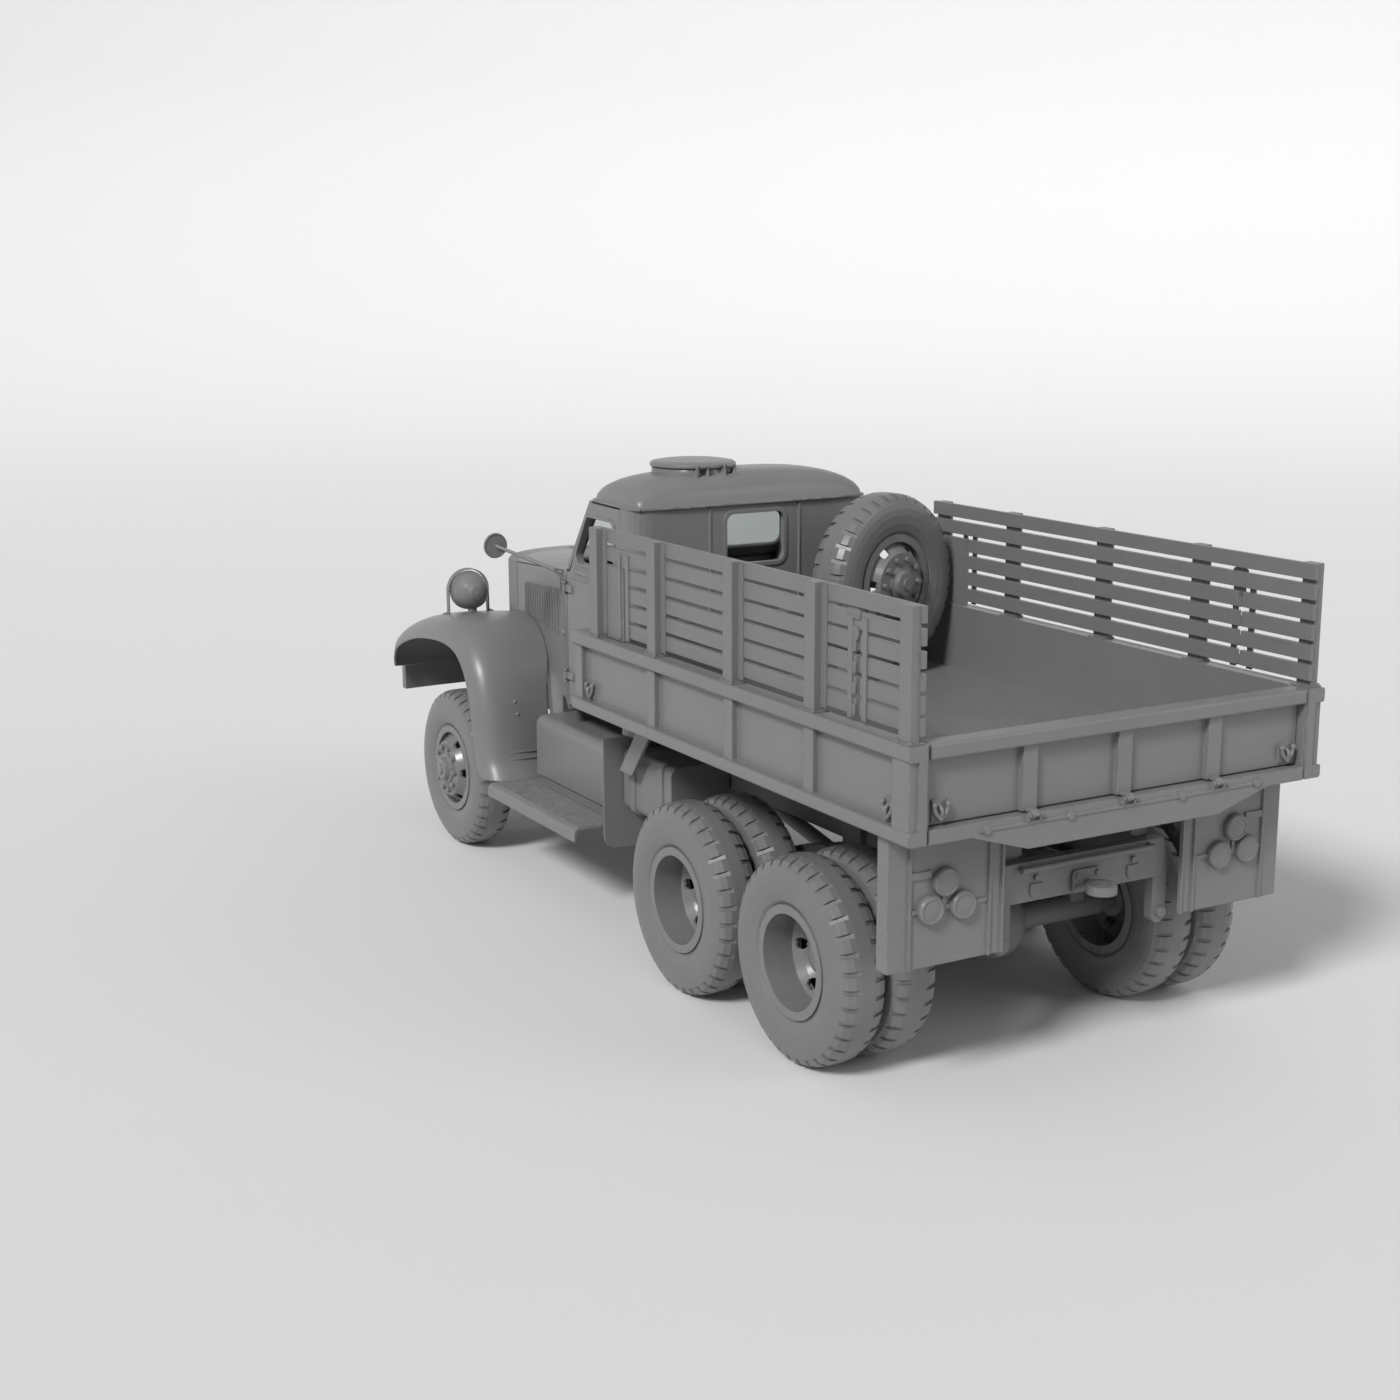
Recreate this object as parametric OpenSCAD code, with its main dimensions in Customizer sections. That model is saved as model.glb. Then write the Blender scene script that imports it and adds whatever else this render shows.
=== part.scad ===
// Six-wheel-drive cargo truck with a closed cab, a butterfly hood, a steel
// cargo body with slatted racks and a drop tailgate. Millimetres, +X forward,
// +Y to the left, +Z up, origin on the ground under the middle of the truck.
// Stations along the truck run forward from the rear face of the cargo body.

/* [Wheels] */
// Tyre radius at the lug tips
tyre_r = 512; // [500:1:525]
// Tyre section width
tyre_w = 257; // [250:1:262]
// Radius of the bead seat of the rim
bead_r = 254; // [250:1:258]
// Half spacing of a twin pair, which is also the wheel disc's offset
dual_half = 143; // [140:1:150]
// Number of lugs on a shoulder of a tyre
lug_count = 36; // [24:1:40]
// Number of nuts on a wheel
nut_count = 10; // [6:1:10]
// Number of hand holes in a wheel disc
hand_hole_count = 6; // [4:1:6]
// Distance from the truck's centre line to the middle of a rear twin pair
rear_track_y = 940; // [925:1:945]
// Distance from the truck's centre line to a front tyre's middle plane
front_track_y = 987; // [975:1:1000]
// Station of the rear axle
rear_axle_x = 977; // [950:1:1000]
// Distance between the two rear axles
bogie_pitch = 1111; // [1080:1:1150]
// Distance from the radiator shell back to the front axle
axle_back = 358; // [345:1:370]
// Radius of the wheel spindles
spindle_r = 50; // [44:1:56]
// Radius of the kingpins
king_r = 22; // [18:1:26]

/* [Frame] */
// Outside width of the frame
frame_w = 864; // [850:1:870]
// Height of a frame rail
frame_h = 230; // [215:1:240]
// Height of the top of the frame above the ground
frame_z = 1080; // [1070:1:1090]
// Flange width of a frame rail
flange_w = 80; // [70:1:90]
// Plate thickness of the frame rails
frame_t = 10; // [8:1:14]
// Length of the front bumper
bumper_w = 2000; // [1900:1:2080]
// Height of the front bumper
bumper_h = 166; // [150:1:166]
// Radius of the bores in the front towing eyes
eye_r = 22; // [16:1:26]
// Radius of the bore in the rear towing ring
ring_r = 46; // [40:1:48]

/* [Cargo body] */
// Length of the cargo body
body_l = 3231; // [3200:1:3240]
// Width of the cargo body over its rails
body_w = 2438; // [2430:1:2480]
// Height of the cargo floor above the ground
floor_z = 1392; // [1380:1:1410]
// Thickness of the cargo floor and of the lower rails
floor_t = 65; // [55:1:75]
// Height of the cargo sides above the floor
side_h = 379; // [360:1:400]
// Height of the top rails
rail_h = 71; // [60:1:80]
// Depth of the rails, from the inside to the outside of a wall
rail_d = 100; // [96:1:104]
// Depth of the panel recess between the rails
recess = 54; // [46:1:60]
// Depth of the side posts' faces behind the rails
post_recess = 24; // [16:1:30]
// Width of a side post
post_w = 82; // [70:1:95]

/* [Racks] */
// Height of the racks above the top rails
rack_h = 597; // [560:1:620]
// Number of slats in a rack
slat_count = 6; // [5:1:7]
// Height of a slat
slat_h = 75; // [70:1:84]
// Thickness of a slat
slat_t = 24; // [18:1:28]
// Width of a rack post
stake_w = 88; // [70:1:96]

/* [Cab] */
// Half width of the cab at its rear wall
cab_half = 795; // [785:1:805]
// Thickness of the cab's walls and doors
cab_t = 42; // [36:1:46]
// Height of the drip line of the roof
drip_z = 2400; // [2395:1:2410]
// Rise of the roof's crown above the drip line
roof_rise = 190; // [180:1:200]
// Radius of the roof hatch's lid
hatch_r = 255; // [245:1:260]

/* [Hood] */
// Half width of the hood at the radiator
hood_front = 430; // [420:1:440]
// Half width of the hood at the cowl
hood_rear = 650; // [640:1:660]
// Number of louvres in a hood side
louvre_count = 14; // [8:1:16]

/* [Fits] */
// Clearance of pins, spindles and seats
fit = 0.3; // [0.2:0.1:0.5]
// Clearance around moving pieces
gap = 5; // [4:0.5:6]

/* [Hidden] */
$fn = 48;

paint = [0.45, 0.45, 0.45];
tread = [0.38, 0.38, 0.38];
dark = [0.30, 0.30, 0.30];
clear = [0.55, 0.60, 0.62, 0.4];

// Hinges: barrel and pin radii, barrel length and ear thickness
barrel_r = 12;
pin_r = 6;
barrel_l = 44;
ear_t = 12;

// Heights and half widths that pieces share
half = body_w / 2;
wall_y = half - rail_d;
top_z = floor_z + side_h;
low_z = floor_z - floor_t;
frame_y = frame_w / 2;
frame_low = frame_z - frame_h;
middle_axle_x = rear_axle_x + bogie_pitch;
trunnion_x = rear_axle_x + bogie_pitch / 2;
frame_x0 = 330;

// Stations of the cab and hood
cab_x = body_l + 29;
door_rear_x = cab_x + 180;
door_front_x = door_rear_x + 750;
cowl_x = door_front_x + 290;
shell_x = cowl_x + 1180;
shell_l = 140;
front_axle_x = shell_x - axle_back;
cab_low = frame_z;
cab_floor_z = cab_low + 70;
cab_floor_t = 25;
belt_z = drip_z - 440;
door_front_half = 771;
door_yaw = atan2(cab_half - 4 - door_front_half, door_front_x - door_rear_x);
screen_lean = 34;

// Overall length, from the tailgate's hinges to the towing eyes
bumper_x = shell_x + 680;
bumper_t = 60;
eye_l = 72;
rear_end = -gap - 2 * barrel_r;
front_end = bumper_x + bumper_t + eye_l;
mid_x = (rear_end + front_end) / 2;

// Hood cross section: share of the half width, share of the drop from ridge to edge
hood_curve = [[0.085, 0], [0.3, 0.02], [0.55, 0.09], [0.75, 0.22], [0.88, 0.42], [0.96, 0.66], [1, 1]];
// Hood sections: half width, ridge height, edge height
hood_front_dims = [hood_front, belt_z - 110, belt_z - 170];
hood_rear_dims = [hood_rear, belt_z + 50, belt_z - 60];
cowl_rear_dims = [door_front_half, belt_z + 40, belt_z - 5];

king_y = 860;
step_top = 562;
step_y = 1135;
box_y = 822;

function unit(v) = v / norm(v);
function lerp(a, b, t) = a + (b - a) * t;

// Points of a round corner of radius r at b, on the way from a to c
function corner(a, b, c, r, n = 5) = let (
    u = unit(a - b), v = unit(c - b), h = acos(u * v) / 2,
    m = b + unit(u + v) * r / sin(h), p = b + u * r / tan(h) - m, q = b + v * r / tan(h) - m,
    a0 = atan2(p.y, p.x), turn = atan2(q.y, q.x) - a0,
    sweep = turn > 180 ? turn - 360 : turn < -180 ? turn + 360 : turn)
    [for (i = [0:n]) m + r * [cos(a0 + sweep * i / n), sin(a0 + sweep * i / n)]];

// Closed outline with all its corners rounded
function rounded(pts, r, n = 5) = let (k = len(pts)) [for (i = [0:k - 1])
    each corner(pts[(i + k - 1) % k], pts[i], pts[(i + 1) % k], r, n)];

// Even-sided ring of n points
function ring(r, n) = [for (i = [0:n - 1]) r * [cos((i + 0.5) * 360 / n), sin((i + 0.5) * 360 / n)]];

// Smooth curve through the rows of a table
function spline(pts, n) = let (k = len(pts)) concat([for (i = [0:k - 2], s = [0:n - 1]) let (
    t = s / n, a = pts[max(i - 1, 0)], b = pts[i], c = pts[i + 1], d = pts[min(i + 2, k - 1)])
    0.5 * (2 * b + (c - a) * t + (2 * a - 5 * b + 4 * c - d) * t * t
    + (3 * b - a - 3 * c + d) * t * t * t)], [pts[k - 1]]);

module station() { translate([-mid_x, 0, 0]) children(); }
module both() { children(); mirror([0, 1, 0]) children(); }
module bar(a, b) { translate(a) cube(b - a); }
module rod_x(x0, x1, y, z, r) { translate([x0, y, z]) rotate([0, 90, 0]) cylinder(r = r, h = x1 - x0); }
module rod_y(x, y0, y1, z, r) { translate([x, y0, z]) rotate([-90, 0, 0]) cylinder(r = r, h = y1 - y0); }
module rod_z(x, y, z0, z1, r) { translate([x, y, z0]) cylinder(r = r, h = z1 - z0); }
module rod(a, b, r) {
    d = b - a;
    translate(a) rotate([0, acos(d.z / norm(d)), atan2(d.y, d.x)]) cylinder(r = r, h = norm(d));
}
// Flat outlines in Y and Z, in X and Z or in X and Y, thickened along the third axis
module plate_x(x, t) { translate([x, 0, 0]) rotate([90, 0, 90]) linear_extrude(t) children(); }
module plate_y(y, t) { translate([0, y + t, 0]) rotate([90, 0, 0]) linear_extrude(t) children(); }
module plate_z(z, t) { translate([0, 0, z]) linear_extrude(t) children(); }
// Solid between two grids of points that have as many rows and columns
module skin(outer, inner) {
    m = len(outer);
    n = len(outer[0]);
    function at(i, j, k) = k * m * n + i * n + j;
    // The diagonals run from the corners to the middle
    function split(i, j, q) = (2 * i < m - 1) == (2 * j < n - 1) ? q : [q[1], q[2], q[3], q[0]];
    quads = [
        for (i = [0:m - 2], j = [0:n - 2]) split(i, j,
            [at(i, j, 0), at(i, j + 1, 0), at(i + 1, j + 1, 0), at(i + 1, j, 0)]),
        for (i = [0:m - 2], j = [0:n - 2]) split(i, j,
            [at(i, j, 1), at(i + 1, j, 1), at(i + 1, j + 1, 1), at(i, j + 1, 1)]),
        for (j = [0:n - 2]) [at(0, j + 1, 0), at(0, j, 0), at(0, j, 1), at(0, j + 1, 1)],
        for (j = [0:n - 2]) [at(m - 1, j, 0), at(m - 1, j + 1, 0), at(m - 1, j + 1, 1), at(m - 1, j, 1)],
        for (i = [0:m - 2]) [at(i, 0, 0), at(i + 1, 0, 0), at(i + 1, 0, 1), at(i, 0, 1)],
        for (i = [0:m - 2]) [at(i + 1, n - 1, 0), at(i, n - 1, 0), at(i, n - 1, 1), at(i + 1, n - 1, 1)]];
    polyhedron(points = [for (r = outer) each r, for (r = inner) each r],
        faces = [for (q = quads) each [[q[2], q[1], q[0]], [q[3], q[2], q[0]]]]);
}

// Frame: two channel rails, open to the inside
module frame_rails() {
    color(paint) station() both() difference() {
        bar([frame_x0, frame_y - flange_w, frame_low], [bumper_x, frame_y, frame_z]);
        bar([frame_x0 - 1, frame_y - flange_w - 1, frame_low + frame_t],
            [bumper_x + 1, frame_y - frame_t, frame_z - frame_t]);
    }
}

// Crossmembers between the rails, and the rear one with its bar and two flaps
cross_x = [trunnion_x, middle_axle_x + 362, cab_x + 240, cab_x + 690, shell_x + 240];
cross_l = 80;
cross_h = 110;
cross_z = 910;
rear_cross_l = 60;
rear_cross_y = 497;
rear_cross_low = 873;
rear_cross_top = 1066;
rear_cross_x = frame_x0 - rear_cross_l;
rail_bar_r = 14;
flap_hole_y = 293;
flap_hole_r = 36;
hanger_y = [433, 519];
hanger_low = 634;
module crossmembers() {
    web_y = frame_y - frame_t;
    color(paint) station() {
        for (x = cross_x) bar([x - cross_l / 2, -web_y, cross_z], [x + cross_l / 2, web_y, cross_z + cross_h]);
        plate_x(rear_cross_x, rear_cross_l) polygon(rounded([[-rear_cross_y, rear_cross_low],
            [rear_cross_y, rear_cross_low], [rear_cross_y, rear_cross_top], [-rear_cross_y, rear_cross_top]], 30));
        bar_y = rear_cross_y - 97;
        bar_z = rear_cross_top - 2 * rail_bar_r;
        bar_x = rear_cross_x - 2 * rail_bar_r;
        rod_y(bar_x, -bar_y, bar_y, bar_z, rail_bar_r);
        both() rod_x(bar_x, rear_cross_x, bar_y - rail_bar_r, bar_z, rail_bar_r);
        both() {
            plate_x(rear_cross_x - 8, 9) translate([flap_hole_y, bar_z - 116]) {
                circle(r = flap_hole_r);
                translate([-flap_hole_r, 0]) square([2 * flap_hole_r, flap_hole_r]);
            }
            rod_x(rear_cross_x - 16, rear_cross_x, flap_hole_y, bar_z - 52, 15);
            plate_x(rear_cross_x + 6, rear_cross_l - 6) polygon(rounded([[hanger_y[0], hanger_low],
                [hanger_y[1], hanger_low], [hanger_y[1], rear_cross_top - 40], [hanger_y[0], rear_cross_top - 40]], 40));
            rod_x(rear_cross_x - 14, rear_cross_x + 7, hanger_y[1] - 36, hanger_low + 56, 26);
        }
    }
}

// Front bumper with swept ends and two towing eyes
eye_o = 38;
bumper_low = 845;
bumper_sweep = 12;
module bumper() {
    end_y = bumper_w / 2;
    bend_y = end_y - 240;
    color(paint) station() {
        plate_z(bumper_low, bumper_h) polygon([[bumper_x, -bend_y], [bumper_x - bumper_sweep, -end_y],
            [bumper_x + bumper_t - bumper_sweep, -end_y], [bumper_x + bumper_t, -bend_y],
            [bumper_x + bumper_t, bend_y], [bumper_x + bumper_t - bumper_sweep, end_y],
            [bumper_x - bumper_sweep, end_y], [bumper_x, bend_y]]);
        both() plate_y(frame_y - flange_w / 2 - 20, 40) translate([bumper_x + bumper_t, bumper_low + bumper_h / 2])
            difference() {
                union() {
                    translate([eye_l - eye_o, 0]) circle(r = eye_o);
                    translate([-1, -eye_o]) square([eye_l - eye_o + 1, 2 * eye_o]);
                }
                translate([eye_l - eye_o, 0]) circle(r = eye_r);
            }
    }
}

// Front drive axle: tube, differential, and a fork with a kingpin at each end
axle_r = 62;
yoke_h = 120;
knuckle_h = 90;
spring_w = 80;
front_pad = 78;
diff_y = -180;
diff_r = 185;
nose_l = 265;
module front_axle() {
    color(dark) station() translate([front_axle_x, 0, tyre_r]) {
        rod_y(0, 75 - king_y, king_y - 75, 0, axle_r);
        translate([0, diff_y, 0]) sphere(r = 165);
        rod_x(-nose_l, 0, diff_y, 0, 70);
        both() {
            bar([-45, king_y - 80, -yoke_h], [45, king_y - 55, yoke_h]);
            for (s = [-1, 1]) translate([0, 0, s * (knuckle_h + gap + yoke_h) / 2])
                plate_z((knuckle_h + gap - yoke_h) / 2, yoke_h - knuckle_h - gap) {
                    translate([-40, king_y - 70]) square([80, 70]);
                    translate([0, king_y]) circle(r = 40);
                }
            rod_z(0, king_y, -yoke_h, yoke_h, king_r);
            bar([-90, frame_y - spring_w, axle_r - 20], [90, frame_y, front_pad]);
        }
    }
}

// Steering knuckles: a barrel on the kingpin and a spindle for the wheel
module knuckle() {
    station() translate([front_axle_x, 0, tyre_r]) difference() {
        union() {
            rod_z(0, king_y, -knuckle_h, knuckle_h, 46);
            rod_y(0, king_y, front_track_y + dual_half - 25, 0, spindle_r);
            rod_y(0, king_y + 45, king_y + 75, 0, 75);
        }
        rod_z(0, king_y, -knuckle_h - 1, knuckle_h + 1, king_r + fit);
    }
}
module knuckle_left() { color(dark) knuckle(); }
module knuckle_right() { color(dark) mirror([0, 1, 0]) knuckle(); }

// Rear drive axles with spring pads and spindles
rear_axle_r = 68;
bogie_spring_y = 520;
bogie_spring_w = 90;
bogie_spring_z = 720;
hub_in = 150;
module bogie_axles() {
    pad_z = bogie_spring_z + bogie_bend - fit;
    color(dark) station() for (x = [rear_axle_x, middle_axle_x]) translate([x, 0, tyre_r]) {
        rod_y(0, -rear_track_y + 250, rear_track_y - 250, 0, rear_axle_r);
        rod_y(0, -rear_track_y - 70, rear_track_y + 70, 0, spindle_r);
        sphere(r = diff_r);
        rod_x(0, nose_l, 0, 0, 75);
        both() bar([-60, bogie_spring_y - bogie_spring_w / 2, rear_axle_r - 25],
            [60, bogie_spring_y + bogie_spring_w / 2, pad_z - tyre_r]);
    }
}

// Leaf springs: two under the front of the frame, two on the trunnions of the rear axles
leaf_t = 12;
front_l = 560;
front_bend = 100;
bogie_l = 620;
bogie_bend = -65;
// Rise at x of a leaf that is clamped flat in the middle and rises by bend at half length l
function leaf_rise(x, l, bend) = bend * pow(max(0, abs(x) - 80) / (l - 80), 2);
// Leaves, each a step longer or shorter than the one below it; the longest has half length l
module leaves(n, w, l, step, bend) {
    plate_y(-w / 2, w) for (i = [0:n - 1]) let (
        h = l - (step > 0 ? n - 1 - i : i) * abs(step), xs = [for (k = [-4:4]) h * k / 4])
        polygon(concat([for (x = xs) [x, leaf_rise(x, l, bend) + i * leaf_t]],
            [for (k = [8:-1:0]) [xs[k], leaf_rise(xs[k], l, bend) + (i + 1) * leaf_t + 1]]));
}
module springs() {
    color(dark) station() both() {
        translate([front_axle_x, frame_y - spring_w / 2, tyre_r + front_pad]) {
            leaves(8, spring_w, front_l, 58, front_bend);
            for (s = [-1, 1]) translate([s * (front_l - 20), 0, 0])
                bar([-28, -spring_w / 2, 130], [28, spring_w / 2, frame_low - tyre_r - front_pad]);
        }
        translate([trunnion_x, bogie_spring_y, bogie_spring_z])
            leaves(9, bogie_spring_w, bogie_l, -60, bogie_bend);
        bar([trunnion_x - 90, bogie_spring_y - bogie_spring_w / 2, bogie_spring_z - 90],
            [trunnion_x + 90, bogie_spring_y + bogie_spring_w / 2, bogie_spring_z + 30]);
        rod_y(trunnion_x, frame_y + 20, bogie_spring_y + bogie_spring_w / 2 + 20, bogie_spring_z - 45, 42);
        bar([trunnion_x - 80, frame_y, bogie_spring_z - 110], [trunnion_x + 80, frame_y + 36, frame_z - 60]);
    }
}

// Engine block, on two feet that stand on the frame
engine_x0 = cowl_x + 140;
engine_x1 = shell_x - 180;
module engine() {
    color(dark) station() {
        block_z = lerp(frame_z, hood_front_dims[1], 0.52);
        cover_z = lerp(frame_z, hood_front_dims[1], 0.73);
        bar([engine_x0, -230, frame_low - 110], [engine_x1, 230, block_z]);
        bar([engine_x0 + 60, -110, block_z], [engine_x1 - 60, 110, cover_z]);
        bar([engine_x0 + 280, -frame_y + 20, frame_z], [engine_x0 + 440, frame_y - 20, frame_z + 40]);
    }
}

// Gearbox, transfer case and propeller shafts, whose flanges meet the noses of the axles
flange_l = 26;
flange_r = 62;
module driveline() {
    shaft_r = 42;
    color(dark) station() {
        gearbox_x = cab_x + 820;
        case_x = [cab_x + 90, cab_x + 390];
        bar([gearbox_x, -150, 770], [engine_x0, 150, 1060]);
        bar([case_x[0], -230, 600], [case_x[1], 150, cross_z]);
        rod([case_x[1] - 10, 0, 800], [gearbox_x + 10, 0, 880], shaft_r);
        rod([case_x[1] - 10, diff_y, 700], [front_axle_x - nose_l - 14, diff_y, tyre_r], shaft_r);
        rod([case_x[0] + 10, 0, 700], [middle_axle_x + nose_l + 14, 0, tyre_r], shaft_r);
        rod_x(rear_axle_x + nose_l + 14, middle_axle_x - diff_r - fit, 0, tyre_r, shaft_r);
        rod_x(front_axle_x - nose_l - flange_l, front_axle_x - nose_l - fit, diff_y, tyre_r, flange_r);
        for (x = [rear_axle_x, middle_axle_x])
            rod_x(x + nose_l + fit, x + nose_l + flange_l, 0, tyre_r, flange_r);
    }
}

// Outline of the hood from the left edge over the ridge to the right edge
function hood_half(d) = [for (c = hood_curve) [c[0] * d[0], d[1] - c[1] * (d[1] - d[2])]];
function hood_arch(d) = let (h = hood_half(d), k = len(h))
    concat([for (i = [k - 1:-1:0]) h[i]], [for (p = h) [-p.x, p.y]]);

// Radiator: shell, core and upright grille bars
module radiator() {
    arch = hood_arch(hood_front_dims);
    frame = 40;
    open_y = hood_front - frame;
    open_z = hood_front_dims[2] - frame;
    bars = 15;
    color(paint) station() {
        plate_x(shell_x, shell_l) difference() {
            polygon(concat([[-hood_front, frame_z], [hood_front, frame_z]], arch));
            polygon(rounded([[-open_y, frame_z + frame], [open_y, frame_z + frame],
                [open_y, open_z], [-open_y, open_z]], 50));
        }
        bar([shell_x + 10, -open_y - 5, frame_z + frame - 5], [shell_x + 70, open_y + 5, open_z + 5]);
        for (i = [1:bars]) rod_z(shell_x + shell_l - 20, -open_y + 2 * open_y * i / (bars + 1),
            frame_z + frame - 5, open_z + 5, 9);
    }
}

// Hood sides, fixed, with a row of upright louvres and an apron behind the front wheels
apron_h = 190;
module hood_sides() {
    d = [cowl_x - shell_x, hood_rear - hood_front];
    l = norm(d);
    t = 10;
    low = frame_z + 10;
    color(paint) station() both() translate([shell_x, hood_front, 0]) rotate([0, 0, atan2(d.y, d.x)]) {
        plate_y(0, t) polygon([[t, low], [l * 0.64, low], [l * 0.66, low - apron_h], [l * 0.926, low - apron_h],
            [l * 0.926, low], [l - t, low], [l - t, hood_rear_dims[2] - gap], [t, hood_front_dims[2] - gap]]);
        for (i = [0:louvre_count - 1]) let (s = i / (louvre_count - 1))
            translate([l * lerp(0.235, 0.885, s), 0, 0]) plate_z(hood_front_dims[2] - 300, 200 + 80 * s)
                polygon([[-15, 1], [15, 1], [15, -21], [9, -23]]);
    }
}

// Hood tops: two curved panels that open about a rod along the ridge
hood_x0 = cowl_x + gap;
hood_x1 = shell_x - gap;
hood_t = 10;
hood_pin_r = 8;
hood_pin_y = 22;
hood_pin_z = [hood_rear_dims[1] + 4, hood_front_dims[1] + 4];
hood_barrel_l = 90;
hood_barrel_x = [cowl_x + 220, cowl_x + 820];
function hood_z(x) = lerp(hood_pin_z[0], hood_pin_z[1], (x - cowl_x) / (shell_x - cowl_x));
function hood_dims(x) = lerp(hood_rear_dims, hood_front_dims, (x - cowl_x) / (shell_x - cowl_x));
function hood_row(x, t) = [for (p = hood_half(hood_dims(x) - [t, t, 0])) [x, p.x, p.y]];
module hood_barrels(xs) {
    tilt = atan2(hood_pin_z[0] - hood_pin_z[1], shell_x - cowl_x);
    for (x = xs) translate([x, hood_pin_y, hood_z(x)]) rotate([0, 90 + tilt, 0])
        translate([0, 0, -hood_barrel_l / 2]) children();
}
module hood_panel(xs) {
    difference() {
        union() {
            skin([hood_row(hood_x1, 0), hood_row(hood_x0, 0)],
                [hood_row(hood_x1, hood_t), hood_row(hood_x0, hood_t)]);
            hood_barrels(xs) {
                cylinder(r = barrel_r + 2, h = hood_barrel_l);
                translate([-2, 0, 0]) cube([12, 60, hood_barrel_l]);
            }
        }
        rod([cowl_x, hood_pin_y, hood_pin_z[0]], [shell_x, hood_pin_y, hood_pin_z[1]], hood_pin_r + fit);
    }
}
module hood_left() { color(paint) station() hood_panel(hood_barrel_x); }
module hood_right() { color(paint) station() mirror([0, 1, 0]) hood_panel(hood_barrel_x); }

// Front fenders: distance ahead of the axle, height and inner half width along the crown
fender_path = [[1033, 1012, 450], [1043, 1120, 445], [948, 1290, 440], [678, 1410, 436], [358, 1478, 436],
    [-2, 1500, 500], [-262, 1445, 548], [-442, 1290, 583], [-537, 1080, 640], [-587, 850, 640],
    [-622, 690, 640], [-677, 605, 640], [-712, 562.3, 640]];
// Fender section: share from the inner edge to the lip, depth below the crown
fender_section = [[0, 26], [0.3, 8], [0.55, 0], [0.76, 10], [0.89, 40], [0.97, 90], [1, 150]];
fender_steps = 3;
fender_t = 14;
lip_y = 1130;
// Depth of the lip along the crown and at the foot
lip_h = [150, 60];
module fender() {
    line = spline(fender_path, fender_steps);
    section = spline(fender_section, 2);
    k = len(line);
    foot = 2 * fender_steps;
    way = [for (i = [0:k - 1]) unit(line[min(i + 1, k - 1)] - line[max(i - 1, 0)])];
    function row(i, t) = [for (c = section) let (
        n = unit([-way[i].y, way[i].x]), y = lerp(line[i].z, lip_y, c[0]),
        side = max(0, c[0] - 0.76) / 0.24,
        d = min(c[1], lerp(lip_h[0], lip_h[1], max(0, i - k + 1 + foot) / foot)) + t * (1 - side))
        [line[i].x + n.x * d, y - t * side, line[i].y + n.y * d]];
    translate([front_axle_x, 0, 0]) difference() {
        skin([for (i = [0:k - 1]) row(i, 0)], [for (i = [0:k - 1]) row(i, fender_t)]);
        bar([-900, 500, 400], [-400, 1300, step_top + fit]);
    }
}
module fenders() { color(paint) station() both() fender(); }

// Cowl: tapered shell from the hood to the doors, with the firewall, the dash and door hinges
hinge_z = [cab_low + 220, belt_z - 120];
hinge_out = gap + barrel_r;
cowl_t = 30;
function cowl_half(x) = lerp(door_front_half, hood_rear, (x - door_front_x) / (cowl_x - door_front_x));
module cowl() {
    t = cowl_t;
    ridge_x = [cowl_x - 10, shell_x - fit];
    function rail(a, b) = [[ridge_x[0], hood_z(ridge_x[0]) + b], [ridge_x[0], hood_z(ridge_x[0]) + a],
        [ridge_x[1], hood_z(ridge_x[1]) + a], [ridge_x[1], hood_z(ridge_x[1]) + b]];
    function row(x, d, s) = concat([[x, d[0] - s, cab_low]],
        [for (p = hood_arch(d - [s, s, s])) [x, p.x, p.y]], [[x, s - d[0], cab_low]]);
    color(paint) station() {
        skin([row(door_front_x, cowl_rear_dims, 0), row(cowl_x, hood_rear_dims, 0)],
            [row(door_front_x, cowl_rear_dims, t), row(cowl_x, hood_rear_dims, t)]);
        plate_x(cowl_x - t, t) polygon(concat([[-hood_rear + t / 2, cab_low], [hood_rear - t / 2, cab_low]],
            hood_arch(hood_rear_dims - [t / 2, t / 2, t / 2])));
        bar([door_front_x, -door_front_half + t, belt_z - 160], [door_front_x + 50, door_front_half - t, belt_z - 30]);
        // Two hinge rods along the ridge and the strip between them
        both() rod([ridge_x[0], hood_pin_y, hood_z(ridge_x[0])], [ridge_x[1], hood_pin_y, hood_z(ridge_x[1])],
            hood_pin_r);
        plate_y(-4, 8) polygon(rail(-32, 6));
        plate_y(-26, 52) polygon(rail(-32, -24));
        both() translate([door_front_x, door_front_half, 0]) for (z = hinge_z) {
            for (s = [-1, 1]) translate([0, 0, z + s * (barrel_l / 2 + gap + ear_t / 2) - ear_t / 2]) {
                translate([0, hinge_out, 0]) cylinder(r = barrel_r, h = ear_t);
                translate([0, -16, 0]) cube([34, 16 + hinge_out, ear_t]);
            }
            rod_z(0, hinge_out, z - barrel_l / 2 - gap - ear_t, z + barrel_l / 2 + gap + ear_t, pin_r);
        }
    }
}

// Cab floor, with sills, a seat riser and blocks on the frame
seat_x0 = cab_x + cab_t + 10;
seat_x1 = cab_x + 640;
seat_z = 1400;
module cab_floor() {
    x0 = cab_x + cab_t;
    side_y = door_front_half - cab_t - gap - 4;
    front_x = cowl_x - cowl_t - fit;
    edge = [[x0, side_y - 60], [x0 + 60, side_y], [door_front_x, side_y],
        [front_x, cowl_half(front_x) - cowl_t - fit]];
    color(paint) station() {
        plate_z(cab_floor_z, cab_floor_t) polygon(concat(edge, [for (i = [3:-1:0]) [edge[i].x, -edge[i].y]]));
        both() bar([x0 + 60, side_y - 40, cab_low], [door_front_x, side_y, cab_floor_z + 10]);
        bar([x0, -620, cab_floor_z + 20], [seat_x1, 620, seat_z]);
        both() for (x = [cab_x + 160, cowl_x - 130])
            bar([x, frame_y - flange_w, frame_z], [x + 90, frame_y, cab_floor_z + 5]);
    }
}

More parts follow.
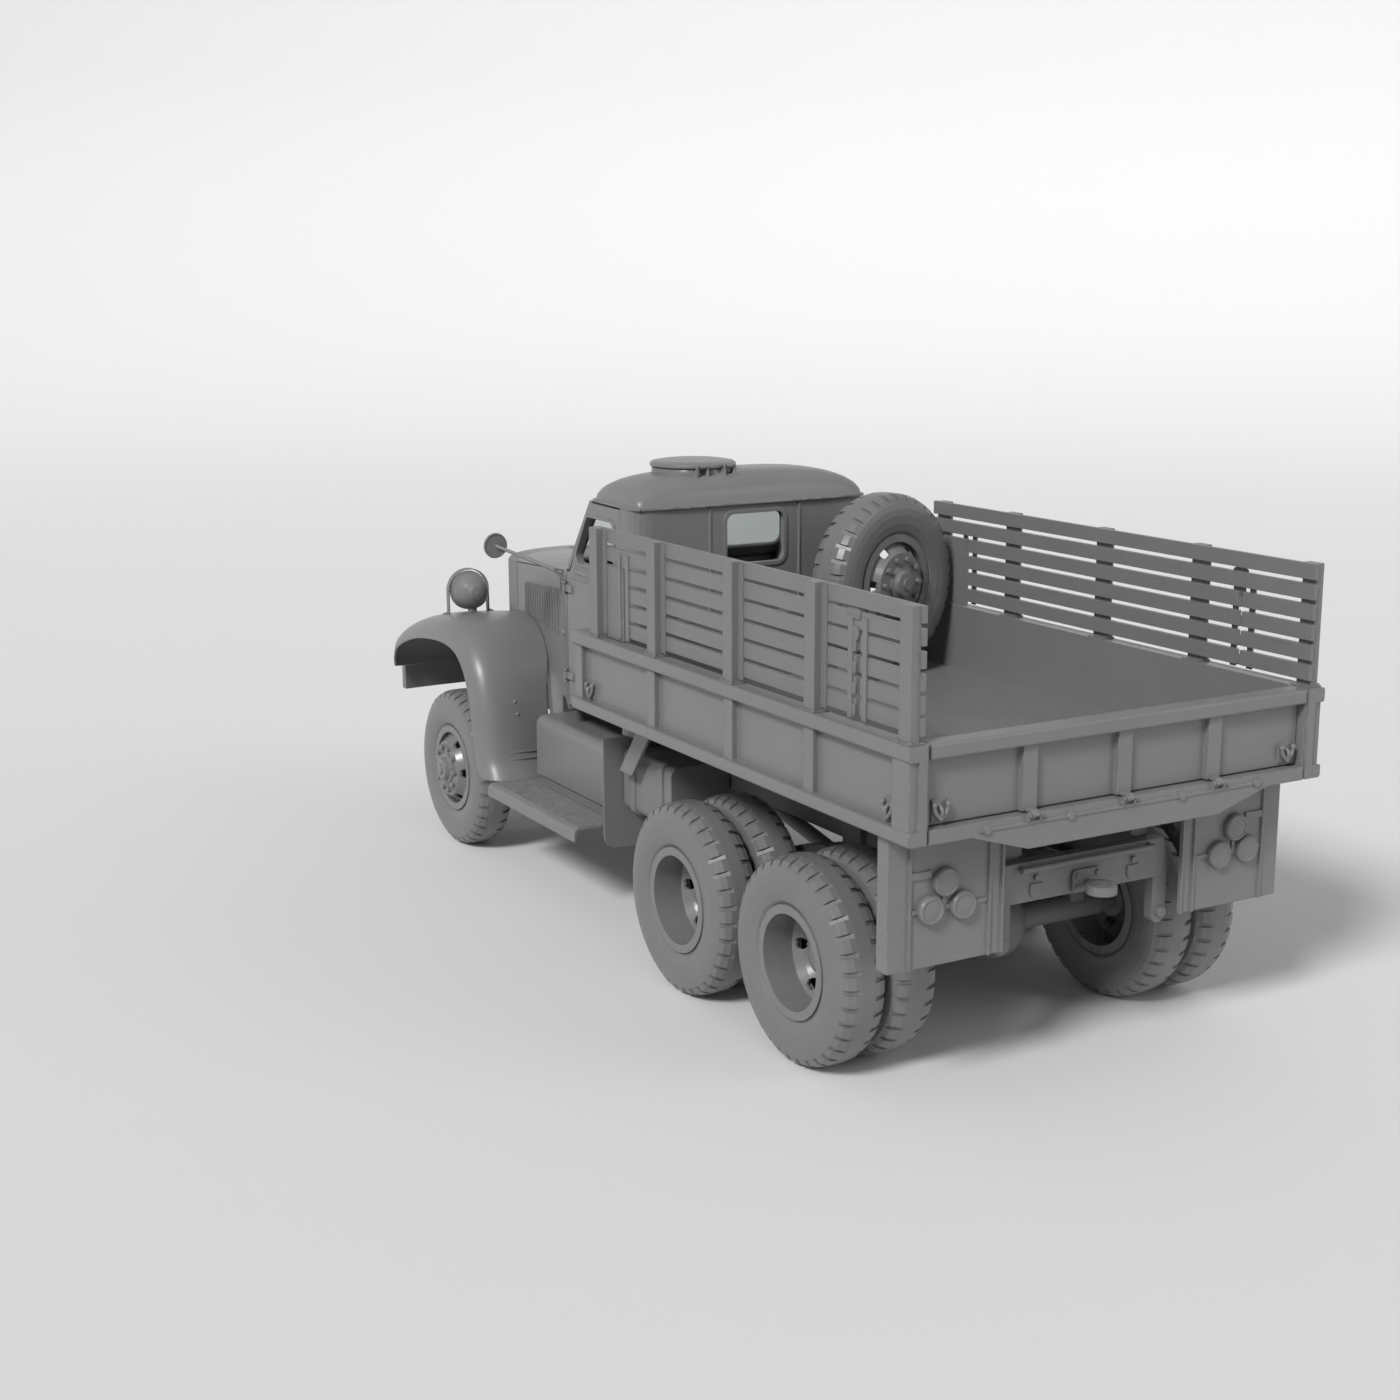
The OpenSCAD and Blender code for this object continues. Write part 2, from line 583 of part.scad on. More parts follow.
// Rear wall of the cab, with its round corners, window and two beads
window_y = 192;
window_z = [drip_z - 345, drip_z - 53];
bead_y = 303;
cab_corner = 110;
function rear_window(s) = rounded([[-window_y - s, window_z[0] - s], [window_y + s, window_z[0] - s],
    [window_y + s, window_z[1] + s], [-window_y - s, window_z[1] + s]], 45 + s);
module cab_rear() {
    x1 = door_rear_x - gap;
    function plan(s) = let (y = cab_half - s, x = cab_x + s, r = cab_corner - s) concat([[x1 + s, -y]],
        corner([x1, -y], [x, -y], [x, y], r), corner([x, -y], [x, y], [x1, y], r), [[x1 + s, y]]);
    color(paint) station() difference() {
        union() {
            plate_z(cab_low, drip_z - cab_low - fit) difference() {
                polygon(plan(0));
                polygon(plan(cab_t));
            }
            both() rod_z(cab_x, bead_y, cab_low, drip_z - 10, 9);
            plate_x(cab_x - 8, 9) polygon(rear_window(24));
        }
        plate_x(cab_x - 20, cab_t + 40) polygon(rear_window(0));
    }
}

// Roof: domed shell with the coaming and hinge ears of the hatch
roof_x0 = cab_x - 20;
roof_x1 = cab_x + 645;
roof_t = 30;
drip_w = 14;
drip_h = 14;
hatch_x = cab_x + 380;
hatch_y = 200;
coaming_r = hatch_r - 10;
coaming_z = drip_z + roof_rise + 8;
hatch_hinge_x = hatch_x - hatch_r - barrel_r - gap;
hatch_hinge_z = coaming_z + gap + barrel_r;
hatch_hinge_y = 90;
module roof() {
    nx = 14;
    ny = 20;
    us = [for (j = [0:ny]) -sin(90 * (2 * j / ny - 1))];
    vs = [for (i = [0:nx]) sin(90 * (2 * i / nx - 1))];
    // Plan of the roof, inset by s, with its corners drawn in
    function spot(u, v, s) = let (a = (v * (1 - 0.06 * pow(abs(u), 10)) + 1) / 2)
        [lerp(roof_x0 + s, roof_x1 - s, a),
        u * (1 - 0.05 * pow(abs(v), 10)) * (lerp(cab_half + 3, door_front_half - 5, a) - s)];
    function rise(u, v) = pow(1 - pow(abs(u), 3.6), 1 / 2.6) * pow(1 - pow(abs(v), 3), 1 / 2.8);
    function grid(s) = [for (v = vs) [for (u = us) let (p = spot(u, v, s))
        [p.x, p.y, drip_z + drip_h / 2 + (roof_rise - s) * rise(u, v)]]];
    function rim(s) = [for (u = us) spot(u, -1, s), for (i = [1:nx]) spot(-1, vs[i], s),
        for (j = [ny - 1:-1:0]) spot(us[j], 1, s), for (i = [nx - 1:-1:1]) spot(1, vs[i], s)];
    color(paint) station() difference() {
        union() {
            skin(grid(drip_w), grid(drip_w + roof_t));
            plate_z(drip_z, drip_h) difference() {
                polygon(rim(0));
                polygon(rim(drip_w + roof_t - 4));
            }
            translate([hatch_x, hatch_y]) plate_z(drip_z + 70, coaming_z - drip_z - 70) polygon(ring(coaming_r, 40));
            for (s = [-1, 1], e = [-1, 1])
                translate([0, hatch_y + s * hatch_hinge_y + e * (barrel_l / 2 + gap + ear_t / 2) - ear_t / 2, 0]) {
                    rod_y(hatch_hinge_x, 0, ear_t, hatch_hinge_z, barrel_r);
                    plate_y(0, ear_t) polygon([[hatch_hinge_x - barrel_r + 2, coaming_z - 40],
                        [hatch_x - coaming_r + 10, coaming_z - 40], [hatch_x - coaming_r + 10, coaming_z - 1],
                        [hatch_hinge_x + barrel_r - 2, coaming_z - 1], [hatch_hinge_x + barrel_r - 2, hatch_hinge_z],
                        [hatch_hinge_x - barrel_r + 2, hatch_hinge_z]]);
                }
            for (s = [-1, 1]) rod_y(hatch_hinge_x, hatch_y + s * hatch_hinge_y - barrel_l / 2 - gap - ear_t,
                hatch_y + s * hatch_hinge_y + barrel_l / 2 + gap + ear_t, hatch_hinge_z, pin_r);
        }
        translate([hatch_x, hatch_y]) plate_z(drip_z + 1, roof_rise + 100) polygon(ring(coaming_r - 20, 40));
    }
}

// Hatch lid: dished disc on two barrels
module roof_hatch() {
    color(paint) station() difference() {
        union() {
            translate([hatch_x, hatch_y, coaming_z + gap]) rotate_extrude() polygon([[0, 0], [hatch_r, 0],
                [hatch_r, 14], [hatch_r - 12, 24], [hatch_r - 60, 32], [0, 34]]);
            for (s = [-1, 1]) translate([0, hatch_y + s * hatch_hinge_y, 0]) {
                rod_y(hatch_hinge_x, -barrel_l / 2, barrel_l / 2, hatch_hinge_z, barrel_r);
                bar([hatch_hinge_x, -barrel_l / 2, hatch_hinge_z - barrel_r],
                    [hatch_x - hatch_r + 40, barrel_l / 2, hatch_hinge_z - 2]);
            }
        }
        rod_y(hatch_hinge_x, hatch_y - 200, hatch_y + 200, hatch_hinge_z, pin_r + fit);
    }
}

// Windscreen: leaning frame with a centre post and two panes
screen_t = 30;
screen_base = [door_front_x - 0.5, belt_z + 8];
screen_y = [door_front_half - 5, door_front_half - 19];
screen_h = (drip_z - screen_base.y) / cos(screen_lean);
pane_y = [26, door_front_half - 71];
pane_s = [70, screen_h - 51];
module screen_place() {
    station() translate([screen_base.x, 0, screen_base.y]) rotate([0, -screen_lean, 0]) children();
}
module pane_outline(s) {
    polygon(rounded([[pane_y[0] + s, pane_s[0] + s], [pane_y[1] - s, pane_s[0] + s],
        [pane_y[1] - 12 - s, pane_s[1] - s], [pane_y[0] + s, pane_s[1] - s]], 40));
}
module windscreen() {
    color(paint) intersection() {
        screen_place() plate_x(-screen_t, screen_t) difference() {
            polygon([[-screen_y[0], 0], [screen_y[0], 0], [screen_y[1], screen_h + 40], [-screen_y[1], screen_h + 40]]);
            pane_outline(0);
            mirror([1, 0]) pane_outline(0);
        }
        translate([-9000, -9000, 0]) cube([18000, 18000, drip_z - fit]);
    }
}

// Glass panes of the windscreen and of the rear window
module glass() {
    color(clear) {
        screen_place() plate_x(-screen_t / 2 - 3, 6) {
            pane_outline(fit);
            mirror([1, 0]) pane_outline(fit);
        }
        station() plate_x(cab_x + cab_t / 2 - 3, 6) polygon(rear_window(-fit));
    }
}

// Bench seat: cushion and backrest
module seat() {
    color(dark) station() {
        bar([seat_x0 + 120 + fit, -600, seat_z + fit], [seat_x1, 600, seat_z + 140]);
        bar([seat_x0, -600, seat_z + fit], [seat_x0 + 120, 600, seat_z + 560]);
    }
}

// Steering wheel on its column, and the gear lever
module controls() {
    floor_top = cab_floor_z + cab_floor_t + fit;
    wheel_c = [cab_x + 700, 380, belt_z - 170];
    foot = [cowl_x - 135, 380, floor_top + 14];
    lever = [[cab_x + 860, 0, floor_top + 6], [cab_x + 780, 0, floor_top + 305]];
    d = wheel_c - foot;
    color(dark) station() {
        rod(foot, wheel_c, 22);
        translate(wheel_c) rotate([0, -atan2(-d.x, d.z), 0]) {
            rotate_extrude() translate([210, 0]) circle(r = 15);
            for (a = [0, 120, 240]) rotate([0, 0, a]) rod_x(0, 210, 0, 0, 9);
            cylinder(r = 40, h = 24);
        }
        rod_z(foot.x, foot.y, floor_top, floor_top + 20, 44);
        rod(lever[0], lever[1], 11);
        rod_z(lever[0].x, lever[0].y, floor_top, floor_top + 14, 30);
        translate(lever[1]) sphere(r = 26);
    }
}

// Doors: hinged at the front, with a window, a belt moulding and a handle
module door() {
    l = door_front_x - door_rear_x - gap;
    low = cab_low + 40;
    function window(s) = rounded([[-l + 85 - s, belt_z + 55 - s], [-l + 85 - s, drip_z - 95 + s],
        [-310 + s / 2, drip_z - 95 + s], [-115 + 1.4 * s, belt_z + 55 - s]], 42);
    station() translate([door_front_x, door_front_half, 0]) difference() {
        union() {
            rotate([0, 0, -door_yaw]) {
                plate_y(-cab_t, cab_t) difference() {
                    polygon([[-l, low], [-7, low], [-7, belt_z - 18], [-46, belt_z - 18],
                        [-339, drip_z - 10], [-l, drip_z - 10]]);
                    polygon(window(0));
                }
                plate_y(-1, 7) difference() {
                    polygon(window(18));
                    polygon(window(0));
                }
                bar([-l + 10, -1, belt_z - 15], [-120, 8, belt_z + 12]);
                bar([-l + 10, -1, belt_z - 52], [-60, 5, belt_z - 38]);
                bar([-l + 30, -1, low + 60], [-40, 5, low + 74]);
                rod_y(-l + 70, -1, 34, belt_z - 70, 12);
                rod_x(-l + 30, -l + 170, 34, belt_z - 70, 11);
            }
            for (z = hinge_z) {
                rod_z(0, hinge_out, z - barrel_l / 2, z + barrel_l / 2, barrel_r);
                bar([-90, -6, z - barrel_l / 2], [-5, hinge_out - 3, z + barrel_l / 2]);
            }
        }
        for (z = hinge_z) rod_z(0, hinge_out, z - 40, z + 40, pin_r + fit);
    }
}
module door_left() { color(paint) door(); }
module door_right() { color(paint) mirror([0, 1, 0]) door(); }

// Round mirror on a bent arm from the left side of the cowl
module side_mirror() {
    base_x = door_front_x + 72;
    base_z = belt_z - 80;
    slope = atan2(door_front_half - hood_rear, cowl_x - door_front_x);
    base_y = lerp(door_front_half, hood_rear, (base_x - door_front_x) / (cowl_x - door_front_x));
    out = [sin(slope), cos(slope), 0];
    foot = [base_x, base_y, base_z] + out * fit;
    elbow = foot + out * 70 + [0, 0, 60];
    head = [cowl_x + 80, 1075, belt_z + 115];
    color(paint) station() {
        rod(foot, foot + out * 10, 26);
        rod(foot + out * 9, elbow, 11);
        translate(elbow) sphere(r = 14);
        rod(elbow, head, 11);
        translate(head) rotate([0, 90, 0]) rotate_extrude()
            polygon([[0, -10], [68, -10], [68, -14], [75, -14], [78, -4], [66, 14], [34, 28], [0, 32]]);
    }
}

// Running boards, ribbed on top, hung from the frame
step_x0 = cab_x + 140;
step_x1 = front_axle_x - 674;
step_h = 80;
step_t = 12;
module steps() {
    y0 = frame_y - 60;
    ribs = 11;
    rib_pitch = 22;
    color(paint) station() both() {
        plate_x(step_x0, step_x1 - step_x0) polygon([[y0, step_top - step_t], [y0, step_top], [step_y - 30, step_top],
            [step_y - 9, step_top - 9], [step_y, step_top - 30], [step_y, step_top - step_h],
            [step_y - step_t, step_top - step_h], [step_y - step_t, step_top - 32], [step_y - 34, step_top - step_t]]);
        for (i = [0:ribs - 1]) translate([step_x0 + 20, box_y + 46 + i * rib_pitch, step_top - 1])
            cube([step_x1 - step_x0 - 108, rib_pitch / 2, 7]);
        for (x = [step_x0 + 200, step_x1 - 328]) bar([x, y0, step_top - 1], [x + 60, frame_y, frame_low]);
    }
}

// Boxes under the cab, on a plinth on the running board, with a rounded top edge
box_x0 = step_x0 + 5;
box_x1 = step_x1 - 68;
box_top = 978;
plinth_h = 40;
module tool_boxes() {
    y0 = frame_y + 8;
    low = step_top + plinth_h;
    color(paint) station() both() {
        bar([box_x0 + 20, y0 + 20, step_top + fit], [box_x1 - 20, box_y - 20, low]);
        plate_x(box_x0, box_x1 - box_x0) polygon(concat([[y0, low], [box_y, low]],
            corner([box_y, low], [box_y, box_top], [y0, box_top], 62), [[y0, box_top]]));
        bar([box_x0 + 30, box_y - 1, low + 40], [box_x0 + 60, box_y + 12, low + 100]);
    }
}

// Fuel tanks between the splash plates and the rear wheels, each with two straps
tank_z = [650, 1014];
module fuel_tanks() {
    x0 = lerp(middle_axle_x + tyre_r, step_x0, 0.25);
    x1 = step_x0 - 30;
    function outline(s) = rounded([[frame_y + 10 - s, tank_z[0] - s], [box_y + s, tank_z[0] - s],
        [box_y + s, tank_z[1] + s], [frame_y + 10 - s, tank_z[1] + s]], 48);
    color(paint) station() both() {
        plate_x(x0, x1 - x0) polygon(outline(0));
        for (x = [x0 + 90, x1 - 150]) plate_x(x, 60) polygon(outline(9.7));
    }
}

// Long sills on the frame and cross bearers under the cargo floor
bearer_h = 100;
bearer_y = 760;
bearers = 7;
module body_bearers() {
    color(paint) station() {
        both() bar([frame_x0, frame_y - 100, frame_z], [body_l - 20, frame_y, low_z - bearer_h]);
        for (i = [0:bearers - 1]) let (x = lerp(frame_x0 + 40, body_l - 81, i / (bearers - 1)))
            bar([x - 40, -bearer_y, low_z - bearer_h], [x + 40, bearer_y, low_z]);
    }
}

// Cargo floor with the seams between its boards
sill_l = 60;
module cargo_floor() {
    boards = 10;
    corner_y = half - corner_w;
    edge = [[sill_l, corner_y], [corner_l, corner_y], [corner_l, wall_y], [body_l - rail_d, wall_y]];
    color(paint) station() difference() {
        plate_z(low_z, floor_t) polygon(concat(edge, [for (i = [3:-1:0]) [edge[i].x, -edge[i].y]]));
        for (i = [1:boards - 1]) translate([sill_l - 1, -wall_y + 2 * wall_y * i / boards - 3, floor_z - 4])
            cube([body_l, 6, 10]);
    }
}

// Rope hook: a plate with a half ring, on a wall that faces +Y
module rope_hook() {
    translate([-40, -1, -56]) cube([80, 9, 96]);
    translate([0, 8, -14]) rotate([90, 0, 90]) rotate_extrude() translate([25, 0]) circle(r = 8.5);
}

// Cargo sides: two rails, a panel between posts, a corner post and rope hooks
corner_w = 115;
corner_l = 140;
corner_in = 12;
side_posts = [822, 1547, 2340, body_l - 46];
// Corner radius of the rails' edges
rail_r = 13;
module cargo_sides() {
    panel_y = half - recess;
    post_y = half - post_recess;
    color(paint) station() both() {
        for (z = [[low_z, floor_z], [top_z - rail_h, top_z]]) plate_x(0, body_l) polygon(concat([[wall_y, z[1]], [wall_y, z[0]]],
            corner([wall_y, z[0]], [half, z[0]], [half, z[1]], rail_r, 3),
            corner([half, z[0]], [half, z[1]], [wall_y, z[1]], rail_r, 3)));
        bar([0, wall_y, floor_z - 1], [body_l, panel_y, top_z - rail_h + 1]);
        bar([corner_in, half - corner_w, low_z], [corner_l, half - corner_in, top_z]);
        for (x = side_posts) bar([x - post_w / 2, panel_y - 1, floor_z - 20],
            [min(x + post_w / 2, body_l), post_y, top_z - rail_h + 20]);
        for (x = [corner_l + 60, body_l - 161]) translate([x, panel_y, floor_z + 70]) rope_hook();
    }
}

// Front wall of the cargo body
module cargo_front() {
    x0 = body_l - rail_d;
    color(paint) station() {
        for (z = [low_z, top_z - rail_h]) bar([x0, -wall_y, z], [body_l, wall_y, z == low_z ? floor_z : top_z]);
        bar([x0, -wall_y, floor_z - 1], [body_l - recess, wall_y, top_z - rail_h + 1]);
        for (y = [-545, 0, 545]) bar([body_l - recess - 1, y - post_w / 2, floor_z - 1],
            [body_l - post_recess, y + post_w / 2, top_z - rail_h + 1]);
    }
}

// Rear sill: deeper in the middle, with a raised crease, bolts and the tailgate's hinge ears
tail_posts = [-545, 0, 545];
tail_axis_x = -gap - barrel_r;
tail_y = half - corner_w - gap;
sill_low = 1232;
module rear_sill() {
    end_y = half - corner_w;
    color(paint) station() {
        plate_x(0, sill_l) polygon([[-end_y, low_z], [-880, low_z], [-565, sill_low], [565, sill_low], [880, low_z],
            [end_y, low_z], [end_y, floor_z], [-end_y, floor_z]]);
        bar([-5, -end_y + 260, low_z + 18], [1, end_y - 260, low_z + 34]);
        for (y = [-800, -330, 330, 800]) rod_x(-12, 1, y, low_z + 26, 20);
        for (y = tail_posts, e = [-1, 1]) translate([0, y + e * (barrel_l / 2 + gap + ear_t / 2) - ear_t / 2, 0]) {
            rod_y(tail_axis_x, 0, ear_t, floor_z, barrel_r);
            bar([tail_axis_x, 0, floor_z - 30], [1, ear_t, floor_z]);
        }
        for (y = tail_posts)
            rod_y(tail_axis_x, y - barrel_l / 2 - gap - ear_t, y + barrel_l / 2 + gap + ear_t, floor_z, pin_r);
    }
}

// Tailgate: top rail, recessed panel, three posts and rope hooks, on barrels along its foot
module tailgate() {
    low = floor_z + gap + 3;
    color(paint) station() difference() {
        union() {
            plate_y(-tail_y, 2 * tail_y) polygon(concat([[rail_d, top_z - rail_h], [rail_d, top_z]],
                corner([rail_d, top_z], [0, top_z], [0, top_z - rail_h], rail_r, 3),
                corner([0, top_z], [0, top_z - rail_h], [rail_d, top_z - rail_h], rail_r, 3)));
            bar([recess, -tail_y, low], [rail_d, tail_y, top_z - rail_h + 1]);
            for (y = tail_posts) {
                bar([post_recess, y - post_w / 2, low], [recess + 1, y + post_w / 2, top_z - rail_h + 20]);
                rod_y(tail_axis_x, y - barrel_l / 2, y + barrel_l / 2, floor_z, barrel_r);
                bar([tail_axis_x, y - barrel_l / 2, floor_z + gap + 1],
                    [recess, y + barrel_l / 2, floor_z + gap + 15]);
            }
            for (y = [-1, 1] * (tail_y - 75)) translate([recess, y, floor_z + 80]) rotate([0, 0, 90]) rope_hook();
        }
        rod_y(tail_axis_x, -tail_y, tail_y, floor_z, pin_r + fit);
    }
}

// Racks: outer posts with feet on the top rail, slats inside, an end board and a slot
stake_x = [74, 822, 1554, 2334, body_l - 241];
stake_t = 46;
stake_y = half - 25;
foot_t = 7;
strip_w = 40;
strip_t = 9;
slot_x = [478, 506];
board_x = [body_l - 509, body_l - 275];
module racks() {
    low = top_z + 14;
    pitch = (rack_h - 14) / slat_count;
    y1 = stake_y - stake_t;
    y0 = y1 - slat_t;
    x0 = stake_x[0] - stake_w / 2;
    x1 = stake_x[len(stake_x) - 1] + stake_w / 2;
    strip_top = low + (slat_count - 1.2) * pitch;
    module slat(i, a, b) { bar([a, y0, low + (i + 1) * pitch - slat_h], [b, y1 + 1, low + (i + 1) * pitch]); }
    color(paint) station() both() {
        for (x = stake_x) {
            bar([x - stake_w / 2, y1, top_z + 6], [x + stake_w / 2, stake_y, top_z + rack_h]);
            bar([x - stake_w / 2 - 14, y0, top_z + fit], [x + stake_w / 2 + 14, stake_y + 14, top_z + foot_t]);
            for (s = [-1, 1]) rod_z(x + s * (stake_w / 2 + 2), stake_y + 2, top_z + foot_t - 1, top_z + 16, 9);
        }
        for (x = [for (i = [1:len(stake_x) - 1]) stake_x[i] - stake_w / 2 - strip_w])
            bar([x, y1, low + 6], [x + strip_w + 1, y1 + strip_t, top_z + rack_h - 8]);
        for (i = [0:slat_count - 1]) {
            if (i > slat_count - 3) slat(i, x0 - 12, x1 + 12);
            else {
                slat(i, x0 - 12, slot_x[0]);
                slat(i, slot_x[1], board_x[0] - 26);
            }
        }
        bar([board_x[0], y0, top_z + 6], [board_x[1], y1 + 1, low + (slat_count - 2) * pitch]);
        for (x = [slot_x[0] - 60, slot_x[1] + 24, board_x[0] - 70, board_x[0] + 20])
            bar([x, y1, top_z + 20], [x + 36, y1 + strip_t, strip_top]);
    }
}

// Mud flaps behind the rear wheels and splash plates ahead of the tanks
flap_x = 204;
flap_t = 12;
flap_y = [537, half - 47];
flap_low = 688;
splash_low = 415;
splash_y = 945;
// Sloping brace behind the cab: distance from the splash plate, height
brace = [[-607, low_z - fit], [-280, 915], [-130, 915], [-457, low_z - fit]];
module mud_flaps() {
    color(paint) station() both() {
        bar([flap_x, flap_y[0], flap_low], [flap_x + flap_t, flap_y[1], low_z]);
        for (y = [flap_y[0], flap_y[0] + 73, flap_y[1] - 120]) bar([flap_x - 12, y, flap_low], [flap_x + 1, y + 14, low_z - 60]);
        bar([flap_x, flap_y[1] - flap_t, flap_low], [flap_x + 85, flap_y[1], low_z]);
        bar([flap_x - 10, half - 277, 1105], [flap_x + 1, half - 166, 1140]);
        plate_y(885, 18) polygon([for (p = brace) [step_x0 + p.x, p.y]]);
        plate_x(step_x0 - fit - flap_t, flap_t) polygon(concat([[frame_y, splash_low]],
            corner([frame_y, splash_low], [splash_y, splash_low], [splash_y, cab_low], 80),
            [[splash_y, cab_low - fit], [frame_y, cab_low - fit]]));
    }
}

// Lamps: three round ones on strips on each mud flap, and a headlamp on each fender
lamp_spots = [[half - 348, 1079], [half - 447, 955], [half - 268, 957]];
headlamp = [front_axle_x + 358, 770, 1615];
hoop_r = 140;
hoop_x = 60;
hoop_w = 40;
hoop_t = 7;
hoop_leg = 128;
module lamps() {
    color(paint) station() both() {
        for (p = lamp_spots) translate([flap_x, p.x, p.y]) rotate([0, -90, 0]) rotate_extrude()
            polygon([[0, 0], [68, 0], [68, 26], [60, 35], [52, 35], [48, 31], [0, 38]]);
        bar([flap_x - 8, half - 590, 945], [flap_x, half - 172, 967]);
        bar([flap_x - 8, half - 359, 955], [flap_x, half - 337, 1080]);
        translate(headlamp) {
            rotate([0, 90, 0]) rotate_extrude() polygon([[0, -118], [44, -108], [88, -76],
                [116, -30], [124, 10], [124, 40], [130, 44], [130, 62], [118, 62], [0, 76]]);
            rod_z(-10, 0, -133.2, -115, 30);
            // Guard hoop around the front, its legs short of the fender
            difference() {
                translate([hoop_x, 0, 0]) rotate([0, 90, 0]) rotate_extrude() translate([hoop_r, -hoop_w / 2])
                    square([hoop_t, hoop_w]);
                bar([hoop_x - hoop_w, -hoop_r - 60, -hoop_r - 60], [hoop_x + hoop_w, hoop_r + 60, 0]);
            }
            both() {
                bar([hoop_x - hoop_w / 2, hoop_r, -hoop_leg], [hoop_x + hoop_w / 2, hoop_r + hoop_t, 0]);
                rod([hoop_x, hoop_r + 3, 0], [52, 124, 0], 8);
            }
        }
    }
}

// Towing ring on a plate on the rear crossmember
ring_x = 150;
ring_z = 918;
ring_h = 44;
module towing_ring() {
    color(paint) station() difference() {
        union() {
            plate_x(rear_cross_x - 20, 12) polygon(rounded([[-85, ring_z - 40], [85, ring_z - 40],
                [85, ring_z + 70], [-85, ring_z + 70]], 20));
            for (y = [-60, 60], z = [ring_z - 15, ring_z + 45]) rod_x(rear_cross_x - 30, rear_cross_x - 19, y, z, 13);
            bar([rear_cross_x - 10, -60, ring_z - 30], [rear_cross_x, 60, ring_z + 50]);
            rod_x(ring_x, rear_cross_x - 10, 0, ring_z, 21);
            rod_z(ring_x, 0, ring_z - ring_h / 2, ring_z + ring_h / 2, ring_r + 28);
        }
        rod_z(ring_x, 0, ring_z - ring_h, ring_z + ring_h, ring_r);
    }
}

// Spare wheel: it stands turned in a cradle at the front right of the cargo floor
spare_x = body_l - 431;
spare_y = 534 - wall_y;
spare_lift = 56;
spare_yaw = 14;
spare_z = floor_z + spare_lift + tyre_r;
module spare_place() {
    station() translate([spare_x, spare_y, spare_z]) rotate([0, 0, 90 + spare_yaw]) children();
}
module spare_carrier() {
    low = floor_z - spare_z + fit;
    color(paint) spare_place() {
        difference() {
            bar([-300, -70, low], [300, 70, low + 110]);
            rod_y(0, -80, 80, 0, tyre_r + fit);
        }
        bar([-60, -172, low], [60, -142, 90]);
        bar([-40, -150, low], [40, -60, low + 40]);
        rod_y(0, -150, dual_half - 35, 0, spindle_r);
    }
}
module spare_tyre() { color(tread) spare_place() tyre(); }
module spare_wheel() { color(paint) spare_place() disc_wheel(); }

// Tyre section: half width as a share of the section width, radius
function tyre_side() = let (w = tyre_w / 2) [[bead_r + fit, w - 31], [bead_r + 28, w - 31],
    [bead_r + 46, w - 16], [bead_r + 88, w - 4], [bead_r + 138, w], [bead_r + 176, w - 3],
    [tyre_r - 52, w - 10], [tyre_r - 20, w - 28], [tyre_r - 4, w - 62], [tyre_r, w - 95]];
// Slots between the lugs: radius and distance from the tyre's middle plane
slot_w = 24;
slot_floor = [[tyre_r + 2, 34], [tyre_r - 26, 80], [tyre_r - 56, tyre_w / 2 + 2], [tyre_r + 2, tyre_w / 2 + 2]];
module tyre() {
    side = tyre_side();
    difference() {
        rotate([-90, 0, 0]) rotate_extrude($fn = 96) polygon(concat(side,
            [for (i = [len(side) - 1:-1:0]) [side[i].x, -side[i].y]]));
        for (s = [0, 1], i = [0:lug_count - 1]) mirror([0, s, 0]) rotate([0, (i + s / 2) * 360 / lug_count, 0])
            plate_z(-slot_w / 2, slot_w) polygon(slot_floor);
    }
}
module tyre_pair() { for (s = [-1, 1]) translate([0, s * dual_half, 0]) tyre(); }

// Wheel: rim with flanges, pressed disc with hand holes, nuts, hub and cap
disc_t = 12;
rim_t = 18;
flange_h = 26;
nut_pcd = 286;
hub_r = 97;
module rim() {
    w = tyre_w / 2 - 18;
    rotate([-90, 0, 0]) rotate_extrude() polygon([[bead_r - rim_t, -w], [bead_r + flange_h, -w],
        [bead_r + flange_h, -w + 12], [bead_r, -w + 12], [bead_r, w - 12], [bead_r + flange_h, w - 12],
        [bead_r + flange_h, w], [bead_r - rim_t, w]]);
    difference() {
        rotate([-90, 0, 0]) rotate_extrude() polygon([[bead_r - rim_t + 2, 70], [bead_r - 50, 104], [178, dual_half],
            [hub_r - 2, dual_half], [hub_r - 2, dual_half - disc_t], [172, dual_half - disc_t],
            [bead_r - 57, 94], [bead_r - rim_t + 2, 54]]);
        for (i = [0:hand_hole_count - 1], e = [-3, 3]) rotate([0, i * 360 / hand_hole_count + e, 0])
            rod_y(bead_r - 50, 40, dual_half + 1, 0, 20);
    }
}
module nuts(y, h) {
    for (i = [0:nut_count - 1]) rotate([0, i * 360 / nut_count, 0]) translate([nut_pcd / 2, y, 0])
        rotate([-90, 0, 0]) cylinder(r = 17, h = h, $fn = 6);
}
module disc_wheel() {
    difference() {
        union() {
            rim();
            nuts(dual_half - 1, 24);
            rotate([-90, 0, 0]) rotate_extrude() polygon([[0, 60], [hub_r, 60], [hub_r, dual_half + 8], [78, dual_half + 14],
                [70, dual_half + 44], [34, dual_half + 48], [34, dual_half + 58], [0, dual_half + 58]]);
        }
        rod_y(0, 59, dual_half - 15, 0, spindle_r + fit);
    }
}
module twin_wheel() {
    difference() {
        union() {
            translate([0, -dual_half, 0]) rim();
            translate([0, dual_half, 0]) mirror([0, 1, 0]) rim();
            nuts(disc_t - 1, 26);
            rotate([-90, 0, 0]) rotate_extrude() polygon([[0, -hub_in], [hub_r, -hub_in], [hub_r, 46], [80, 54], [80, 96],
                [56, 104], [0, 104]]);
        }
        rod_y(0, -hub_in - 1, 82, 0, spindle_r + fit);
    }
}
module front_place() { station() translate([front_axle_x, front_track_y, tyre_r]) children(); }
